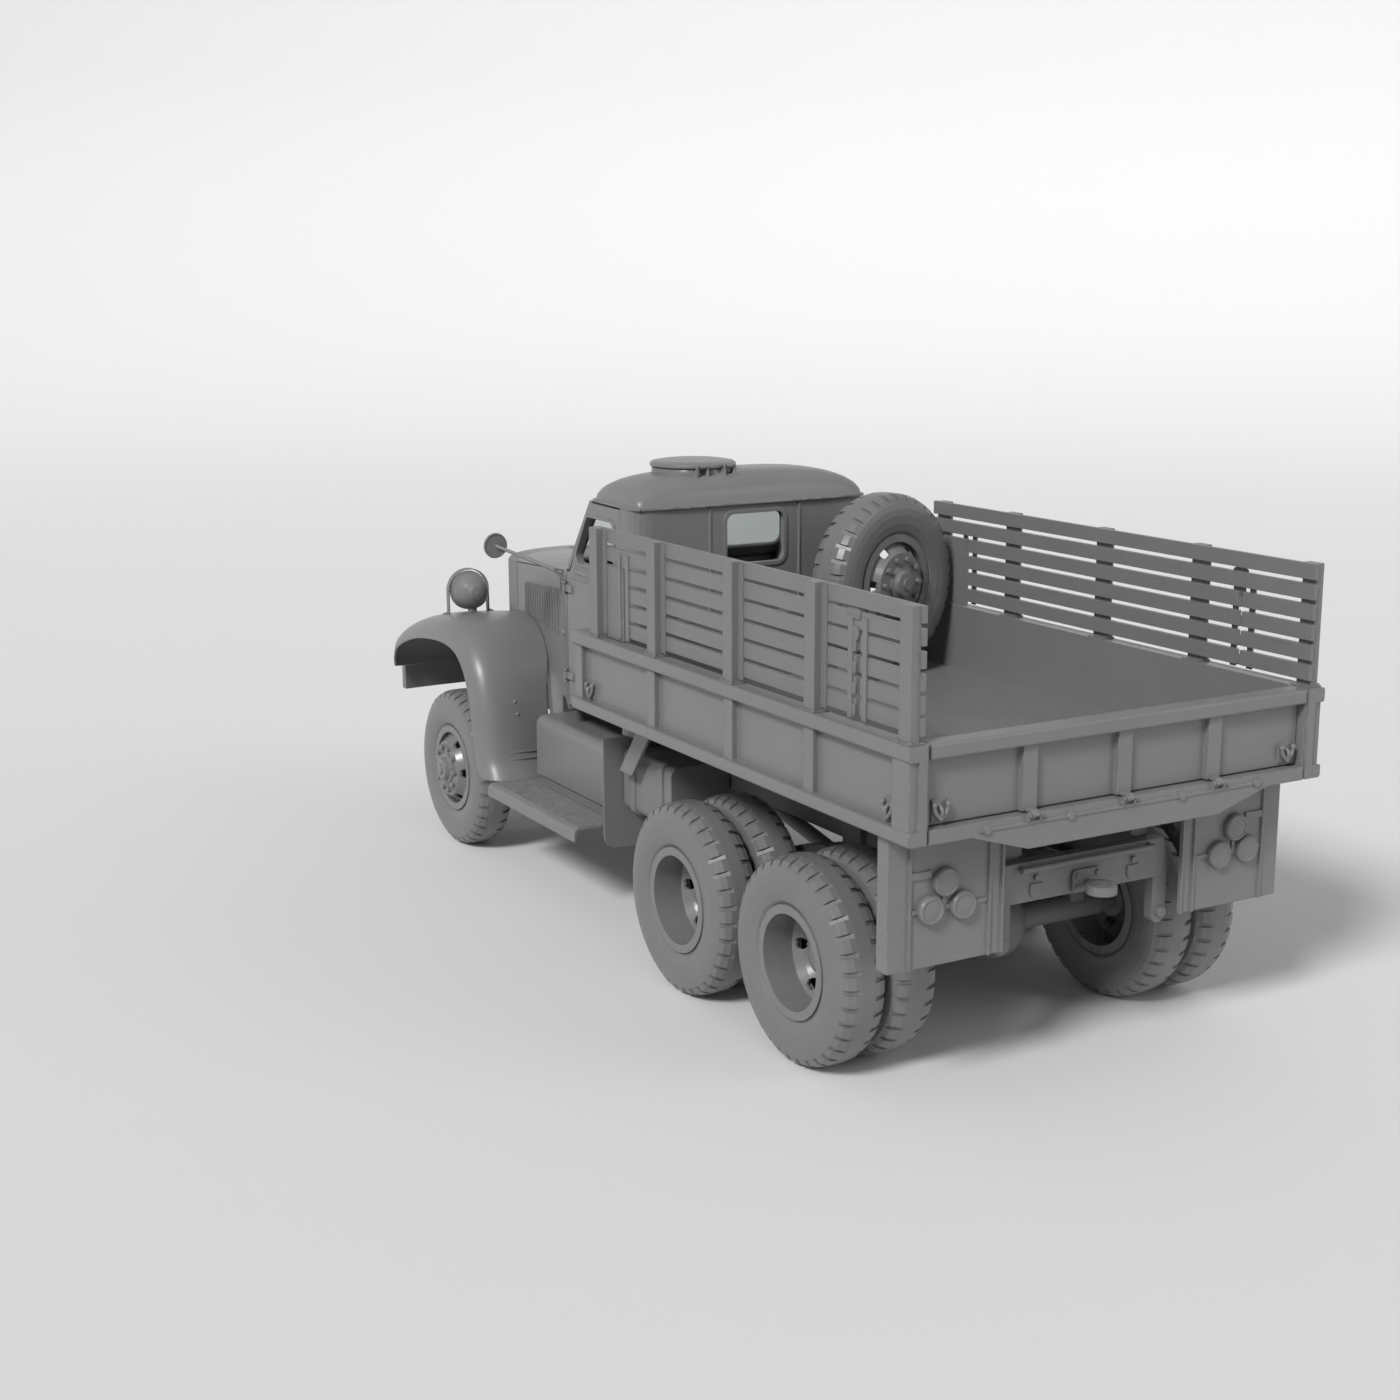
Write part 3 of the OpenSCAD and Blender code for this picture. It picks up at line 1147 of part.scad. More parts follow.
module twin_place(x) { station() translate([x, rear_track_y, tyre_r]) children(); }
module tyre_front_left() { color(tread) front_place() tyre(); }
module tyre_front_right() { color(tread) mirror([0, 1, 0]) front_place() tyre(); }
module tyres_middle_left() { color(tread) twin_place(middle_axle_x) tyre_pair(); }
module tyres_middle_right() { color(tread) mirror([0, 1, 0]) twin_place(middle_axle_x) tyre_pair(); }
module tyres_rear_left() { color(tread) twin_place(rear_axle_x) tyre_pair(); }
module tyres_rear_right() { color(tread) mirror([0, 1, 0]) twin_place(rear_axle_x) tyre_pair(); }
module wheel_front_left() { color(paint) front_place() disc_wheel(); }
module wheel_front_right() { color(paint) mirror([0, 1, 0]) front_place() disc_wheel(); }
module wheels_middle_left() { color(paint) twin_place(middle_axle_x) twin_wheel(); }
module wheels_middle_right() { color(paint) mirror([0, 1, 0]) twin_place(middle_axle_x) twin_wheel(); }
module wheels_rear_left() { color(paint) twin_place(rear_axle_x) twin_wheel(); }
module wheels_rear_right() { color(paint) mirror([0, 1, 0]) twin_place(rear_axle_x) twin_wheel(); }

frame_rails();
crossmembers();
bumper();
front_axle();
bogie_axles();
springs();
engine();
driveline();
radiator();
hood_sides();
hood_left();
hood_right();
fenders();
cowl();
cab_floor();
cab_rear();
roof();
roof_hatch();
windscreen();
glass();
seat();
controls();
door_left();
door_right();
side_mirror();
steps();
tool_boxes();
fuel_tanks();
body_bearers();
cargo_floor();
cargo_sides();
cargo_front();
rear_sill();
tailgate();
racks();
mud_flaps();
lamps();
towing_ring();
spare_carrier();
spare_tyre();
spare_wheel();
knuckle_left();
knuckle_right();
tyre_front_left();
tyre_front_right();
tyres_middle_left();
tyres_middle_right();
tyres_rear_left();
tyres_rear_right();
wheel_front_left();
wheel_front_right();
wheels_middle_left();
wheels_middle_right();
wheels_rear_left();
wheels_rear_right();
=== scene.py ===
import math

import bmesh
import bpy
from mathutils import Matrix, Vector
from mathutils.bvhtree import BVHTree


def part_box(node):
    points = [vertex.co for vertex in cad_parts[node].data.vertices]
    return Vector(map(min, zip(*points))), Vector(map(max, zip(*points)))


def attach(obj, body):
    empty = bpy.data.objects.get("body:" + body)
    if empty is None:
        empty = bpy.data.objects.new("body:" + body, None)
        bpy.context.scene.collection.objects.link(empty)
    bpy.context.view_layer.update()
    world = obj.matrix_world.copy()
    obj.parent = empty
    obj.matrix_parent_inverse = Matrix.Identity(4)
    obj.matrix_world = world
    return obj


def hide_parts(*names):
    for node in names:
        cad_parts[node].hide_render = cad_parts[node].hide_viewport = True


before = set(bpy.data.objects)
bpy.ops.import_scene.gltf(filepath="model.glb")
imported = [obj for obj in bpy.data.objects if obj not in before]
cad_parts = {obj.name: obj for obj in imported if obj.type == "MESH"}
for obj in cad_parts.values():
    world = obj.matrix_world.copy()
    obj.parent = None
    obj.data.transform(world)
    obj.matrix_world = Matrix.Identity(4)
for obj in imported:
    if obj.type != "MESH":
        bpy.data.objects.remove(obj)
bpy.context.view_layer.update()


# Frame, axles, springs and drive: rolled and forged steel, brushed over with the same grey paint
# as the body and then left to the road, so the finish is duller and dust lies on its upper faces.
def add_node(tree, kind, values=None, **settings):
    """Shader node with its settings, and with values on sockets that stay unlinked."""
    node = tree.nodes.new(kind)
    for name, setting in settings.items():
        setattr(node, name, setting)
    for socket, value in (values or {}).items():
        node.inputs[socket].default_value = value
    return node


def add_noise(tree, place, **values):
    """Cloudy pattern, read at a place on the surface."""
    noise = add_node(tree, "ShaderNodeTexNoise", values)
    tree.links.new(place, noise.inputs["Vector"])
    return noise.outputs["Fac"]


def add_range(tree, source, values, blend="LINEAR"):
    """A value spread from one range over another."""
    spread = add_node(tree, "ShaderNodeMapRange", values, interpolation_type=blend)
    tree.links.new(source, spread.inputs["Value"])
    return spread.outputs["Result"]


def add_product(tree, first, second):
    """Product of two values that change over the surface."""
    product = add_node(tree, "ShaderNodeMath", operation="MULTIPLY")
    tree.links.new(first, product.inputs[0])
    tree.links.new(second, product.inputs[1])
    return product.outputs["Value"]


def road_wear_group():
    """Soft edges, rubbed edges, blotches and settled dust of a painted surface."""
    group = bpy.data.node_groups.new("road_wear", "ShaderNodeTree")
    for name in ("Edge Radius", "Grain Scale", "Grain Height"):
        group.interface.new_socket(name, in_out="INPUT", socket_type="NodeSocketFloat")
    for name in ("Rubbed", "Blotch", "Dust"):
        group.interface.new_socket(name, in_out="OUTPUT", socket_type="NodeSocketFloat")
    group.interface.new_socket("Normal", in_out="OUTPUT", socket_type="NodeSocketVector")
    link = group.links.new
    entry = add_node(group, "NodeGroupInput")
    leave = add_node(group, "NodeGroupOutput")
    place = add_node(group, "ShaderNodeTexCoord").outputs["Object"]
    facing = add_node(group, "ShaderNodeNewGeometry").outputs["Normal"]

    rounded = add_node(group, "ShaderNodeBevel", samples=4)
    link(entry.outputs["Edge Radius"], rounded.inputs["Radius"])
    along = add_node(group, "ShaderNodeVectorMath", operation="DOT_PRODUCT")
    link(rounded.outputs["Normal"], along.inputs[0])
    link(facing, along.inputs[1])
    edge = add_range(group, along.outputs["Value"], {"From Min": 0.995, "From Max": 0.80}, "SMOOTHSTEP")
    chips = add_noise(group, place, Scale=22.0, Detail=6.0)
    chipped = add_range(group, chips, {"From Min": 0.48, "From Max": 0.68}, "SMOOTHSTEP")
    link(add_product(group, edge, chipped), leave.inputs["Rubbed"])

    link(add_noise(group, place, Scale=2.6, Detail=5.0, Roughness=0.6), leave.inputs["Blotch"])

    upward = add_node(group, "ShaderNodeSeparateXYZ")
    link(facing, upward.inputs["Vector"])
    level = add_range(group, upward.outputs["Z"], {"From Min": 0.35, "From Max": 1.0})
    drift = add_noise(group, place, Scale=5.0, Detail=4.0)
    link(add_product(group, level, drift), leave.inputs["Dust"])

    grain = add_noise(group, place, Detail=3.0)
    link(entry.outputs["Grain Scale"], grain.node.inputs["Scale"])
    bump = add_node(group, "ShaderNodeBump", {"Distance": 0.001})
    link(entry.outputs["Grain Height"], bump.inputs["Strength"])
    link(grain, bump.inputs["Height"])
    link(rounded.outputs["Normal"], bump.inputs["Normal"])
    link(bump.outputs["Normal"], leave.inputs["Normal"])
    return group


road_wear = road_wear_group()
road_dust = (0.27, 0.265, 0.25, 1)


def grey_finish(name, grey, bare, dusty, gloss, edge=0.006, grain=(260.0, 0.12)):
    """Painted or moulded surface: its grey, the paler grey of rubbed edges, the share of dust, low and high
    roughness, the radius of its soft edges, and the fineness and height of its grain."""
    material = bpy.data.materials.new(name)
    material.use_nodes = True
    tree = material.node_tree
    link = tree.links.new
    shader = tree.nodes["Principled BSDF"]
    fineness, height = grain
    wear_values = {"Edge Radius": edge, "Grain Scale": fineness, "Grain Height": height}
    wear = add_node(tree, "ShaderNodeGroup", wear_values, node_tree=road_wear)

    thin, cool, thick = grey * 0.90, grey * 0.905, grey * 1.08
    coat = add_node(tree, "ShaderNodeMix", {"A": (thin, thin, cool, 1), "B": (thick, thick, thick, 1)},
                    data_type="RGBA")
    link(wear.outputs["Blotch"], coat.inputs["Factor"])
    worn = add_node(tree, "ShaderNodeMix", {"B": (bare, bare, bare, 1)}, data_type="RGBA")
    link(wear.outputs["Rubbed"], worn.inputs["Factor"])
    link(coat.outputs["Result"], worn.inputs["A"])
    settled = add_node(tree, "ShaderNodeMath", {1: dusty}, operation="MULTIPLY")
    link(wear.outputs["Dust"], settled.inputs[0])
    dusted = add_node(tree, "ShaderNodeMix", {"B": road_dust}, data_type="RGBA")
    link(settled.outputs["Value"], dusted.inputs["Factor"])
    link(worn.outputs["Result"], dusted.inputs["A"])
    link(dusted.outputs["Result"], shader.inputs["Base Color"])

    smooth, dull = gloss
    sheen = add_range(tree, wear.outputs["Blotch"], {"To Min": smooth, "To Max": dull})
    link(sheen, shader.inputs["Roughness"])
    link(wear.outputs["Normal"], shader.inputs["Normal"])
    return material


def finish_nodes(material, *names):
    """Gives nodes of the frame their finish."""
    for name in names:
        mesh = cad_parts[name].data
        mesh.materials.clear()
        mesh.materials.append(material)


chassis_paint = grey_finish("chassis_paint", grey=0.165, bare=0.26, dusty=0.30, gloss=(0.40, 0.56))
finish_nodes(chassis_paint, "frame_rails", "crossmembers", "bumper", "body_bearers", "towing_ring",
             "spare_carrier")
casting_paint = grey_finish("casting_paint", grey=0.150, bare=0.22, dusty=0.35, gloss=(0.48, 0.66),
                            grain=(120.0, 0.30))
finish_nodes(casting_paint, "front_axle", "bogie_axles", "springs", "engine", "driveline", "knuckle_left",
             "knuckle_right")

# Sheet metal of the cab, hood, fenders and cargo body: pressed steel, sprayed in satin grey,
# with soft pressed edges, faint blotches from many repaints and paint rubbed thin along the edges.
body_paint = grey_finish("body_paint", grey=0.185, bare=0.30, dusty=0.22, gloss=(0.29, 0.43), edge=0.008)
finish_nodes(body_paint, "radiator", "hood_sides", "hood_left", "hood_right", "fenders", "cowl", "cab_floor",
             "cab_rear", "roof", "roof_hatch", "windscreen", "door_left", "door_right", "side_mirror",
             "steps", "tool_boxes", "fuel_tanks", "cargo_sides", "cargo_front", "rear_sill", "tailgate",
             "mud_flaps", "lamps", "controls")
scene = bpy.context.scene


def finished_piece(name, bm, material, body, sharp=35):
    """A welded bmesh as a piece that rides on a body; edges bent by more than sharp degrees stay crisp."""
    weld = 0.00002
    bmesh.ops.remove_doubles(bm, verts=bm.verts[:], dist=weld)
    bmesh.ops.recalc_face_normals(bm, faces=bm.faces[:])
    mesh = bpy.data.meshes.new(name)
    bm.to_mesh(mesh)
    bm.free()
    mesh.shade_smooth()
    mesh.set_sharp_from_angle(angle=math.radians(sharp))
    mesh.materials.append(material)
    piece = bpy.data.objects.new(name, mesh)
    scene.collection.objects.link(piece)
    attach(piece, body)
    return piece


def smooth_shell(name, node):
    """A pressed shell's own form, merged so that light runs over it without facets."""
    bm = bmesh.new()
    bm.from_mesh(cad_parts[node].data)
    shell = finished_piece(name, bm, body_paint, "chassis", sharp=28)
    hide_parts(node)
    return shell


fender_shells = smooth_shell("fender_shells", "fenders")
smooth_shell("roof_shell", "roof")

# Small fittings on fenders and hood sides, the same on both sides: bolted feet under the headlamp guards,
# two round bolts and two rolled bands on each fender, and a strap catch and a knob behind the louvres.
# Stations are millimetres forward of the cargo body's rear face.
rear_face_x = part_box("cargo_sides")[0][0]


def at(station, y, z):
    """Place in the frame of a point in millimetres: its station, its way to the left and its height."""
    return Vector((rear_face_x + station / 1000, y / 1000, z / 1000))


def spin_outline(bm, outline, axis, steps):
    """Outline turned once round an axis through the origin; gives the vertices that this adds."""
    before = set(bm.verts)
    line = [bm.verts.new(point) for point in outline]
    edges = [bm.edges.new(pair) for pair in zip(line, line[1:])]
    bmesh.ops.spin(bm, geom=line + edges, cent=(0, 0, 0), axis=axis, angle=2 * math.pi, steps=steps,
                   use_merge=True)
    return list(set(bm.verts) - before)


def add_round_head(bm, place, normal, radius):
    """Domed head on a thin collar, standing on a surface."""
    outline = ((1.25, 0.0), (1.25, 0.10), (1.0, 0.16), (0.95, 0.34), (0.78, 0.52), (0.45, 0.66), (0.0, 0.70))
    head = spin_outline(bm, [(r * radius, 0, z * radius) for r, z in outline], axis=(0, 0, 1), steps=20)
    stand = Matrix.Translation(place) @ normal.to_track_quat("Z", "Y").to_matrix().to_4x4()
    bmesh.ops.transform(bm, matrix=stand, verts=head)


def add_strap(bm, path, across, thick):
    """Flat bar bent along a path, with soft edges; across is half its width, thick half its thickness."""
    before = set(bm.verts)
    corners = ((-1, -1), (1, -1), (1, 1), (-1, 1))
    face = bm.faces.new([bm.verts.new(path[0] + a * across + b * thick) for a, b in corners])
    for start, end in zip(path, path[1:]):
        grown = bmesh.ops.extrude_face_region(bm, geom=[face])["geom"]
        face = [g for g in grown if isinstance(g, bmesh.types.BMFace)][0]
        bmesh.ops.translate(bm, vec=end - start, verts=face.verts[:])
    made = set(bm.verts) - before
    inner = [f for f in bm.faces if all(v in made for v in f.verts)
             and all(len(e.link_faces) > 2 for e in f.edges)]
    bmesh.ops.delete(bm, geom=inner, context="FACES_ONLY")
    bmesh.ops.recalc_face_normals(bm, faces=[f for f in bm.faces if f.verts[0] in made])
    corner_turn = 1.0
    edges = [e for e in bm.edges
             if e.verts[0] in made and e.is_manifold and e.calc_face_angle(0) > corner_turn]
    bmesh.ops.bevel(bm, geom=edges, offset=thick.length * 0.7, segments=3, profile=0.5, affect="EDGES",
                    material=-1)


lamp_station, lamp_y, lamp_z = 5660, 770, 1615
guard_station = lamp_station + 60
guard_leg_y = 143.5
guard_leg_low = lamp_z - 128
guard_across = Vector((0.0205, 0, 0))
guard_half_thick = 0.0045
toe_length = 0.036
foot_bolt_r = 0.008
lift = Vector((0, 0, 0.004))
# Fender bolts: station, y, height and upward lean
fender_bolts = ((4754.5, 878, 1034, 0.25), (4737.6, 867, 957, 0.19))
fender_bolt_r = 0.0105
# Fender bands: station and height of each, and the way forward and y along all of them
fender_bands = ((4690.0, 717), (4674.5, 676))
band_path = ((3, 690), (0, 790), (-1, 880), (2, 952))
band_across, band_thick = Vector((-0.002, 0, 0.008)), Vector((-0.004, 0, -0.001))
# Strap catch: station, y and height from its hook down to its end
catch_path = ((4506, 652, 1896), (4512, 664, 1872), (4518, 660, 1836), (4528, 653, 1800), (4534, 658, 1766))
knob_station, knob_y, knob_z, knob_r = 4506, 645.2, 1502, 0.020

fittings_bm = bmesh.new()
fender_surface = BVHTree.FromObject(fender_shells, bpy.context.evaluated_depsgraph_get())
upward, downward = Vector((0, 0, 1)), Vector((0, 0, -1))
for side in (1, -1):
    for way in (1, -1):
        leg_end = at(guard_station, side * lamp_y + way * guard_leg_y, guard_leg_low)
        foot = fender_surface.ray_cast(leg_end, downward)[0]
        toe = fender_surface.ray_cast(leg_end + Vector((0, way * toe_length, 0)), downward)[0]
        leg, sole = [leg_end + 4 * lift, foot - lift], [foot + lift, toe + lift]
        add_strap(fittings_bm, leg, guard_across, Vector((0, guard_half_thick, 0)))
        add_strap(fittings_bm, sole, guard_across, Vector((0, 0, guard_half_thick)))
        add_round_head(fittings_bm, (foot + toe) / 2 + 2 * lift, upward, foot_bolt_r)
    for station, y, z, lean in fender_bolts:
        bolt_normal = Vector((-1, 0, lean)).normalized()
        add_round_head(fittings_bm, at(station, side * y, z), bolt_normal, fender_bolt_r)
    for station, z in fender_bands:
        band = [at(station + forward, side * y, z) for forward, y in band_path]
        add_strap(fittings_bm, band, band_across, band_thick)
    catch = [at(station, side * y, z) for station, y, z in catch_path]
    add_strap(fittings_bm, catch, Vector((0.012, -side * 0.002, 0)), Vector((0.001, side * 0.0035, 0)))
    knob_normal = Vector((0.18, side * 0.98, 0)).normalized()
    add_round_head(fittings_bm, at(knob_station, side * knob_y, knob_z), knob_normal, knob_r)
finished_piece("fender_and_hood_fittings", fittings_bm, body_paint, "chassis")


# Rope hooks: forged forks of round bar, two on each side of the cargo body and two on the tailgate.
# Each stands off its plate, with its bend drawn down to a point and a round knob on both horns.
def add_rope_hook(bm, place, along, outward):
    """Forked hook with its horns side by side in one direction, facing outward in another."""
    half_fork, bar_r, knob_r, knob_z = 0.036, 0.0095, 0.0135, 0.004
    depth, point_depth, point_half = 1.35, 0.35, 0.02
    before = set(bm.verts)
    ring = bmesh.ops.create_circle(bm, cap_ends=True, segments=14, radius=bar_r)["verts"]
    bmesh.ops.translate(bm, vec=(-half_fork, 0, 0), verts=ring)
    start = list(ring[0].link_faces) + list({e for v in ring for e in v.link_edges}) + ring
    bmesh.ops.spin(bm, geom=start, cent=(0, 0, 0), axis=(0, 1, 0), angle=-math.pi, steps=24)
    for vert in set(bm.verts) - before:
        vert.co.z *= depth + point_depth * max(0.0, 1 - abs(vert.co.x) / point_half)
    for x in (-half_fork, half_fork):
        knob = bmesh.ops.create_uvsphere(bm, u_segments=16, v_segments=10, radius=knob_r)["verts"]
        bmesh.ops.translate(bm, vec=(x, 0, knob_z), verts=knob)
    turn = Matrix((along, outward, along.cross(outward))).transposed().to_4x4()
    bmesh.ops.transform(bm, matrix=Matrix.Translation(place) @ turn, verts=list(set(bm.verts) - before))


side_hook_stations, side_hook_y, side_hook_z = (200, 3070), 1187, 1478
side_hooks_bm = bmesh.new()
for side in (1, -1):
    for station in side_hook_stations:
        place = at(station, side * side_hook_y, side_hook_z)
        add_rope_hook(side_hooks_bm, place, Vector((side, 0, 0)), Vector((0, side, 0)))
finished_piece("side_rope_hooks", side_hooks_bm, body_paint, "chassis")
gate_hook_station, gate_hook_y, gate_hook_z = 30, 1024, 1488
gate_hooks_bm = bmesh.new()
for side in (1, -1):
    place = at(gate_hook_station, side * gate_hook_y, gate_hook_z)
    add_rope_hook(gate_hooks_bm, place, Vector((0, 1, 0)), Vector((-1, 0, 0)))
finished_piece("gate_rope_hooks", gate_hooks_bm, body_paint, "gate")

# Wheels: pressed steel discs with hand holes, welded into rolled rims and bolted to the hubs.
# They are painted with the body, and their paint keeps more of its gloss.
wheel_paint = grey_finish("wheel_paint", grey=0.180, bare=0.30, dusty=0.15, gloss=(0.20, 0.34), edge=0.005)
finish_nodes(wheel_paint, "spare_wheel", "wheel_front_left", "wheel_front_right", "wheels_middle_left",
             "wheels_middle_right", "wheels_rear_left", "wheels_rear_right")


# Racks and cargo floor: hardwood slats and boards under thick grey paint, with the long grain standing
# through it. The posts are bolted to feet on the top rails, and small clips hold the slats at the slots.
def board_grain_group():
    """Long grain of sawn boards that run along the truck: a height and a mask of dark streaks."""
    group = bpy.data.node_groups.new("board_grain", "ShaderNodeTree")
    for name in ("Height", "Streaks"):
        group.interface.new_socket(name, in_out="OUTPUT", socket_type="NodeSocketFloat")
    link = group.links.new
    leave = add_node(group, "NodeGroupOutput")
    place = add_node(group, "ShaderNodeTexCoord").outputs["Object"]
    stretch = add_node(group, "ShaderNodeMapping", {"Scale": (1.6, 46.0, 46.0)})
    link(place, stretch.inputs["Vector"])
    fibres = add_noise(group, stretch.outputs["Vector"], Scale=2.2, Detail=7.0, Roughness=0.62)
    link(fibres, leave.inputs["Height"])
    streaks = add_range(group, fibres, {"From Min": 0.56, "From Max": 0.74}, "SMOOTHSTEP")
    link(streaks, leave.inputs["Streaks"])
    return group


board_paint = grey_finish("board_paint", grey=0.180, bare=0.27, dusty=0.25, gloss=(0.36, 0.50), edge=0.005,
                          grain=(90.0, 0.10))
board_tree = board_paint.node_tree
board_link = board_tree.links.new
board_shader = board_tree.nodes["Principled BSDF"]
board_grain = add_node(board_tree, "ShaderNodeGroup", node_tree=board_grain_group())
grain_ridges = add_node(board_tree, "ShaderNodeBump", {"Strength": 0.22, "Distance": 0.002})
board_link(board_grain.outputs["Height"], grain_ridges.inputs["Height"])
board_link(board_shader.inputs["Normal"].links[0].from_socket, grain_ridges.inputs["Normal"])
board_link(grain_ridges.outputs["Normal"], board_shader.inputs["Normal"])
grain_stain = add_node(board_tree, "ShaderNodeMix", {"B": (0.86, 0.86, 0.86, 1)}, data_type="RGBA",
                       blend_type="MULTIPLY")
board_link(board_grain.outputs["Streaks"], grain_stain.inputs["Factor"])
board_link(board_shader.inputs["Base Color"].links[0].from_socket, grain_stain.inputs["A"])
board_link(grain_stain.outputs["Result"], board_shader.inputs["Base Color"])
finish_nodes(board_paint, "racks", "cargo_floor")

clip_thick = 0.007
clip_rim = 0.0022


def add_clip(bm, place, width, height):
    """Pressed plate with round corners, its face to the side of the truck."""
    before = set(bm.verts)
    plate = bmesh.ops.create_cube(bm, size=1.0)["verts"]
    bmesh.ops.scale(bm, vec=(width, clip_thick, height), verts=plate)
    through = [e for e in bm.edges if e.verts[0] in plate
               and abs((e.verts[0].co - e.verts[1].co).y) > clip_thick / 2]
    bmesh.ops.bevel(bm, geom=through, offset=min(width, height) * 0.38, segments=5, profile=0.5,
                    affect="EDGES", material=-1)
    made = set(bm.verts) - before
    rim_turn = 1.2
    rims = [e for e in bm.edges if e.verts[0] in made and e.is_manifold and e.calc_face_angle(0) > rim_turn]
    bmesh.ops.bevel(bm, geom=rims, offset=clip_rim, segments=2, profile=0.5, affect="EDGES", material=-1)
    bmesh.ops.translate(bm, vec=place, verts=list(set(bm.verts) - before))


# Clips beside the slot: station, height above the ground, and their own width and height
slat_pitch = 97
slat_clips = [(524, 2262, 0.104, 0.050), (516, 2176, 0.062, 0.062)]
slat_clips += [(521, 2120 - slat_pitch * i, 0.034, 0.058) for i in range(4)]
slat_face_y, clip_sink = 1149, 0.5
clip_y = slat_face_y + 1000 * clip_thick / 2 - clip_sink
clips_bm = bmesh.new()
for side in (1, -1):
    for station, z, width, height in slat_clips:
        add_clip(clips_bm, at(station, side * clip_y, z), width, height)
finished_piece("rack_clips", clips_bm, chassis_paint, "chassis")

# Glass of the windscreen and the rear window: flat safety glass with a faint green tint,
# set in the cab's steel. A thin film of road dirt dulls it in patches.
pane_glass = bpy.data.materials.new("pane_glass")
pane_glass.use_nodes = True
pane_tree = pane_glass.node_tree
pane_shader = pane_tree.nodes["Principled BSDF"]
pane_shader.inputs["Base Color"].default_value = (0.70, 0.73, 0.72, 1)
pane_shader.inputs["Transmission Weight"].default_value = 1.0
pane_shader.inputs["IOR"].default_value = 1.45
pane_film = add_noise(pane_tree, add_node(pane_tree, "ShaderNodeTexCoord").outputs["Object"], Scale=9.0)
pane_haze = add_range(pane_tree, pane_film, {"To Min": 0.01, "To Max": 0.10})
pane_tree.links.new(pane_haze, pane_shader.inputs["Roughness"])
finish_nodes(pane_glass, "glass")

# Tyres: moulded rubber with smooth side walls and a closed tread, whose shoulders are cut into
# lugs by slots that run out towards the middle. Slots of the two shoulders stand half a pitch apart.
tyre_grey = grey_finish("tyre_rubber", grey=0.165, bare=0.20, dusty=0.25, gloss=(0.28, 0.42), edge=0.004,
                        grain=(300.0, 0.08))
finish_nodes(tyre_grey, "spare_tyre", "tyre_front_left", "tyre_front_right", "tyres_middle_left",
             "tyres_middle_right", "tyres_rear_left", "tyres_rear_right")

# Bench seat: a cushion and a backrest of sprung padding under dark leather, sewn in upright channels.
# Both are blown up like a filled cover, and then drawn in along the seams.
seat_leather = grey_finish("seat_leather", grey=0.105, bare=0.15, dusty=0.20, gloss=(0.46, 0.62), edge=0.004,
                           grain=(420.0, 0.35))


def padded_cover(name, low, high, seam_ys, outward):
    """A filled cover in the box between two corners, sewn along seam_ys on the side that faces outward."""
    swell, corner_r, mesh_size, settling = 0.014, 0.028, 0.012, 20
    seam_width, seam_depth = 0.011, 0.013
    bm = bmesh.new()
    bmesh.ops.create_cube(bm, size=1.0)
    inset = Vector((swell, swell, swell))
    bmesh.ops.scale(bm, vec=high - low - 2 * inset, verts=bm.verts[:])
    bmesh.ops.translate(bm, vec=(low + high) / 2, verts=bm.verts[:])
    bmesh.ops.bevel(bm, geom=bm.edges[:], offset=corner_r, segments=4, profile=0.5, affect="EDGES",
                    material=-1)
    mesh = bpy.data.meshes.new(name)
    bm.to_mesh(mesh)
    bm.free()
    cover = bpy.data.objects.new(name, mesh)
    scene.collection.objects.link(cover)
    even = cover.modifiers.new("even_faces", "REMESH")
    even.mode = "VOXEL"
    even.voxel_size = mesh_size
    cover.data = bpy.data.meshes.new_from_object(cover.evaluated_get(bpy.context.evaluated_depsgraph_get()))
    cover.data.name = name
    cover.modifiers.clear()
    cloth = cover.modifiers.new("filling", "CLOTH")
    cloth.settings.use_pressure = True
    cloth.settings.uniform_pressure_force = 1.2
    cloth.settings.effector_weights.gravity = 0.0
    cloth.settings.quality = 4
    cloth.point_cache.frame_end = settling
    for step in range(1, settling + 1):
        scene.frame_set(step)
    blown = cover.evaluated_get(bpy.context.evaluated_depsgraph_get()).to_mesh()
    ends = [v.co.copy() for v in blown.vertices]
    cover.modifiers.clear()
    scene.frame_set(1)
    for vert, end in zip(cover.data.vertices, ends):
        move = end - vert.co
        if move.length > swell:
            move *= swell / move.length
        vert.co += move
    bm = bmesh.new()
    bm.from_mesh(cover.data)
    bmesh.ops.subdivide_edges(bm, edges=bm.edges[:], cuts=1, use_grid_fill=True, smooth=0.4)
    for vert in bm.verts:
        facing = max(0.0, vert.normal.dot(outward))
        drawn = max(math.exp(-((vert.co.y - y) / seam_width) ** 2) for y in seam_ys)
        vert.co -= outward * (seam_depth * drawn * facing ** 0.5)
    bm.to_mesh(cover.data)
    bm.free()
    cover.data.shade_smooth()
    cover.data.materials.append(seat_leather)
    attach(cover, "chassis")
    return cover


seat_low, seat_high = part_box("seat")
back_thick, cushion_thick, seat_gap = 0.120, 0.1397, 0.002
channel_count, channel_width = 7, 0.16
back_x = seat_low[0] + back_thick
cushion_top = seat_low[2] + cushion_thick
channel_ys = [channel_width * (i - (channel_count - 1) / 2) for i in range(channel_count)]
seat_cushion = padded_cover("seat_cushion", Vector((back_x + seat_gap, seat_low[1], seat_low[2])),
                            Vector((seat_high[0], seat_high[1], cushion_top)), channel_ys, Vector((0, 0, 1)))
seat_backrest = padded_cover("seat_backrest", Vector((seat_low[0], seat_low[1], seat_low[2])),
                             Vector((back_x, seat_high[1], seat_high[2])), channel_ys, Vector((1, 0, 0)))
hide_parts("seat")
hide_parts("seat")

# Headlamp lenses: pressed glass discs with upright flutes, held by the rims of the lamp bowls.
# The painted bowls behind show through them.
lens_station = lamp_station + 63
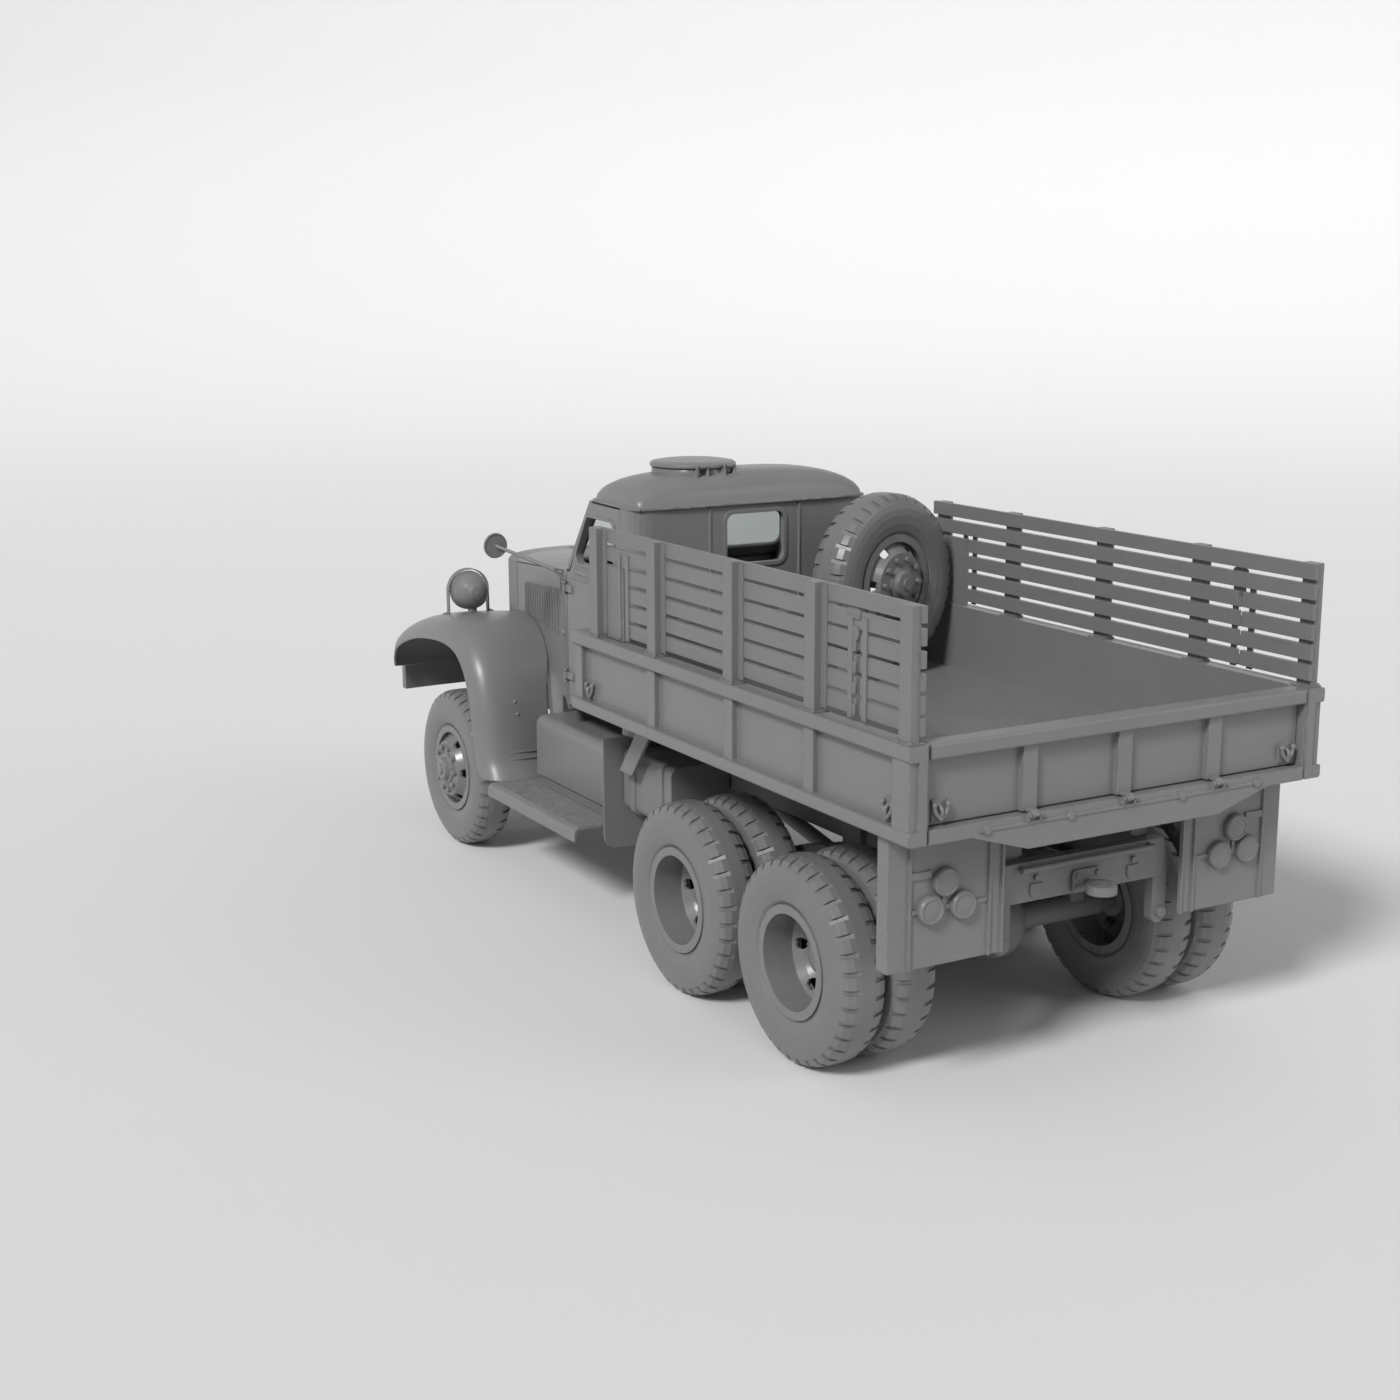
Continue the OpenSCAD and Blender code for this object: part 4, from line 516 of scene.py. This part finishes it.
# Section of a lens: radius and way forward, over its front and back along its rear
lens_outline = ((0.000, 0.0165), (0.040, 0.0148), (0.080, 0.0100), (0.104, 0.0052), (0.1165, 0.0030),
                (0.1172, 0.0012), (0.104, 0.0028), (0.080, 0.0064), (0.040, 0.0114), (0.000, 0.0138))
flute_depth, flute_width = 0.0006, 0.016
plain_middle_r, plain_rim_r, plain_rim_x = 0.02, 0.110, 0.004
lens_bm = bmesh.new()
for side in (1, -1):
    lens = spin_outline(lens_bm, [(x, 0, r) for r, x in lens_outline], axis=(1, 0, 0), steps=72)
    for vert in lens:
        if plain_middle_r < math.hypot(vert.co.y, vert.co.z) < plain_rim_r and vert.co.x > plain_rim_x:
            vert.co.x += flute_depth * math.cos(vert.co.y * 2 * math.pi / flute_width)
    bmesh.ops.translate(lens_bm, vec=at(lens_station, side * lamp_y, lamp_z), verts=lens)
finished_piece("headlamp_lenses", lens_bm, pane_glass, "chassis")

# Studio: a pale paper floor that rises smoothly into a backdrop all round, out of the way of any view.
# The lights shine through the rising paper, so that it throws no shadow on the floor.
floor_outline = ((0, 0), (22, 0), (30, 0.6), (36, 3), (39, 8), (40, 16))
floor_bm = bmesh.new()
spin_outline(floor_bm, [(r, 0, z) for r, z in floor_outline], axis=(0, 0, 1), steps=64)
bmesh.ops.remove_doubles(floor_bm, verts=floor_bm.verts[:], dist=0.001)
bmesh.ops.recalc_face_normals(floor_bm, faces=floor_bm.faces[:])
floor_mesh = bpy.data.meshes.new("studio_floor")
floor_bm.to_mesh(floor_mesh)
floor_bm.free()
floor_mesh.shade_smooth()
floor = bpy.data.objects.new("studio_floor", floor_mesh)
floor.visible_shadow = False
scene.collection.objects.link(floor)
floor_paper = bpy.data.materials.new("studio_paper")
floor_paper.use_nodes = True
paper_shader = floor_paper.node_tree.nodes["Principled BSDF"]
paper_shader.inputs["Base Color"].default_value = (0.74, 0.74, 0.74, 1)
paper_shader.inputs["Roughness"].default_value = 0.9
floor_mesh.materials.append(floor_paper)

# Light: an even white sky for the soft shade, and two broad lamps behind the truck. The strong one,
# high on its left, draws the forms, and the weak one on its right opens the shadows.
world = bpy.data.worlds.new("soft_sky")
scene.world = world
world.use_nodes = True
sky = world.node_tree.nodes["Background"]
sky.inputs["Color"].default_value = (1, 1, 1, 1)
sky.inputs["Strength"].default_value = 0.36


def soft_light(name, place, spread, strength):
    """Distant lamp that shines from a place to the origin, its disc spread degrees wide."""
    data = bpy.data.lights.new(name, "SUN")
    data.angle = math.radians(spread)
    data.energy = strength
    light = bpy.data.objects.new(name, data)
    scene.collection.objects.link(light)
    light.location = place
    light.rotation_euler = Vector(place).to_track_quat("Z", "Y").to_euler()


soft_light("key_light", (-5, 9, 8.5), spread=14, strength=2.5)
soft_light("fill_light", (-8, -6, 5), spread=30, strength=0.4)

# Camera: where the photograph was taken from, behind the truck and to its left, above the cargo body.
# Its place, turn and focal length bring the truck's corners to where the photograph shows them.
camera_place = Vector((-9.93091, 6.06210, 3.77983))
camera_yaw, camera_pitch, camera_roll = (math.radians(a) for a in (-29.7116, -12.3264, -0.1918))
image_size = 1400
focal_pixels = 2011.92
sensor_width = 36
ahead = Vector((math.cos(camera_pitch) * math.cos(camera_yaw), math.cos(camera_pitch) * math.sin(camera_yaw),
                math.sin(camera_pitch)))
across = ahead.cross(upward).normalized()
upright = across.cross(ahead)
rolled_across = math.cos(camera_roll) * across + math.sin(camera_roll) * upright
rolled_up = -math.sin(camera_roll) * across + math.cos(camera_roll) * upright
camera_data = bpy.data.cameras.new("photo_camera")
camera_data.sensor_width = sensor_width
camera_data.lens = sensor_width * focal_pixels / image_size
camera = bpy.data.objects.new("photo_camera", camera_data)
scene.collection.objects.link(camera)
turn = Matrix((rolled_across, rolled_up, -ahead)).transposed().to_4x4()
camera.matrix_world = Matrix.Translation(camera_place) @ turn
scene.camera = camera
scene.view_settings.view_transform = "Standard"
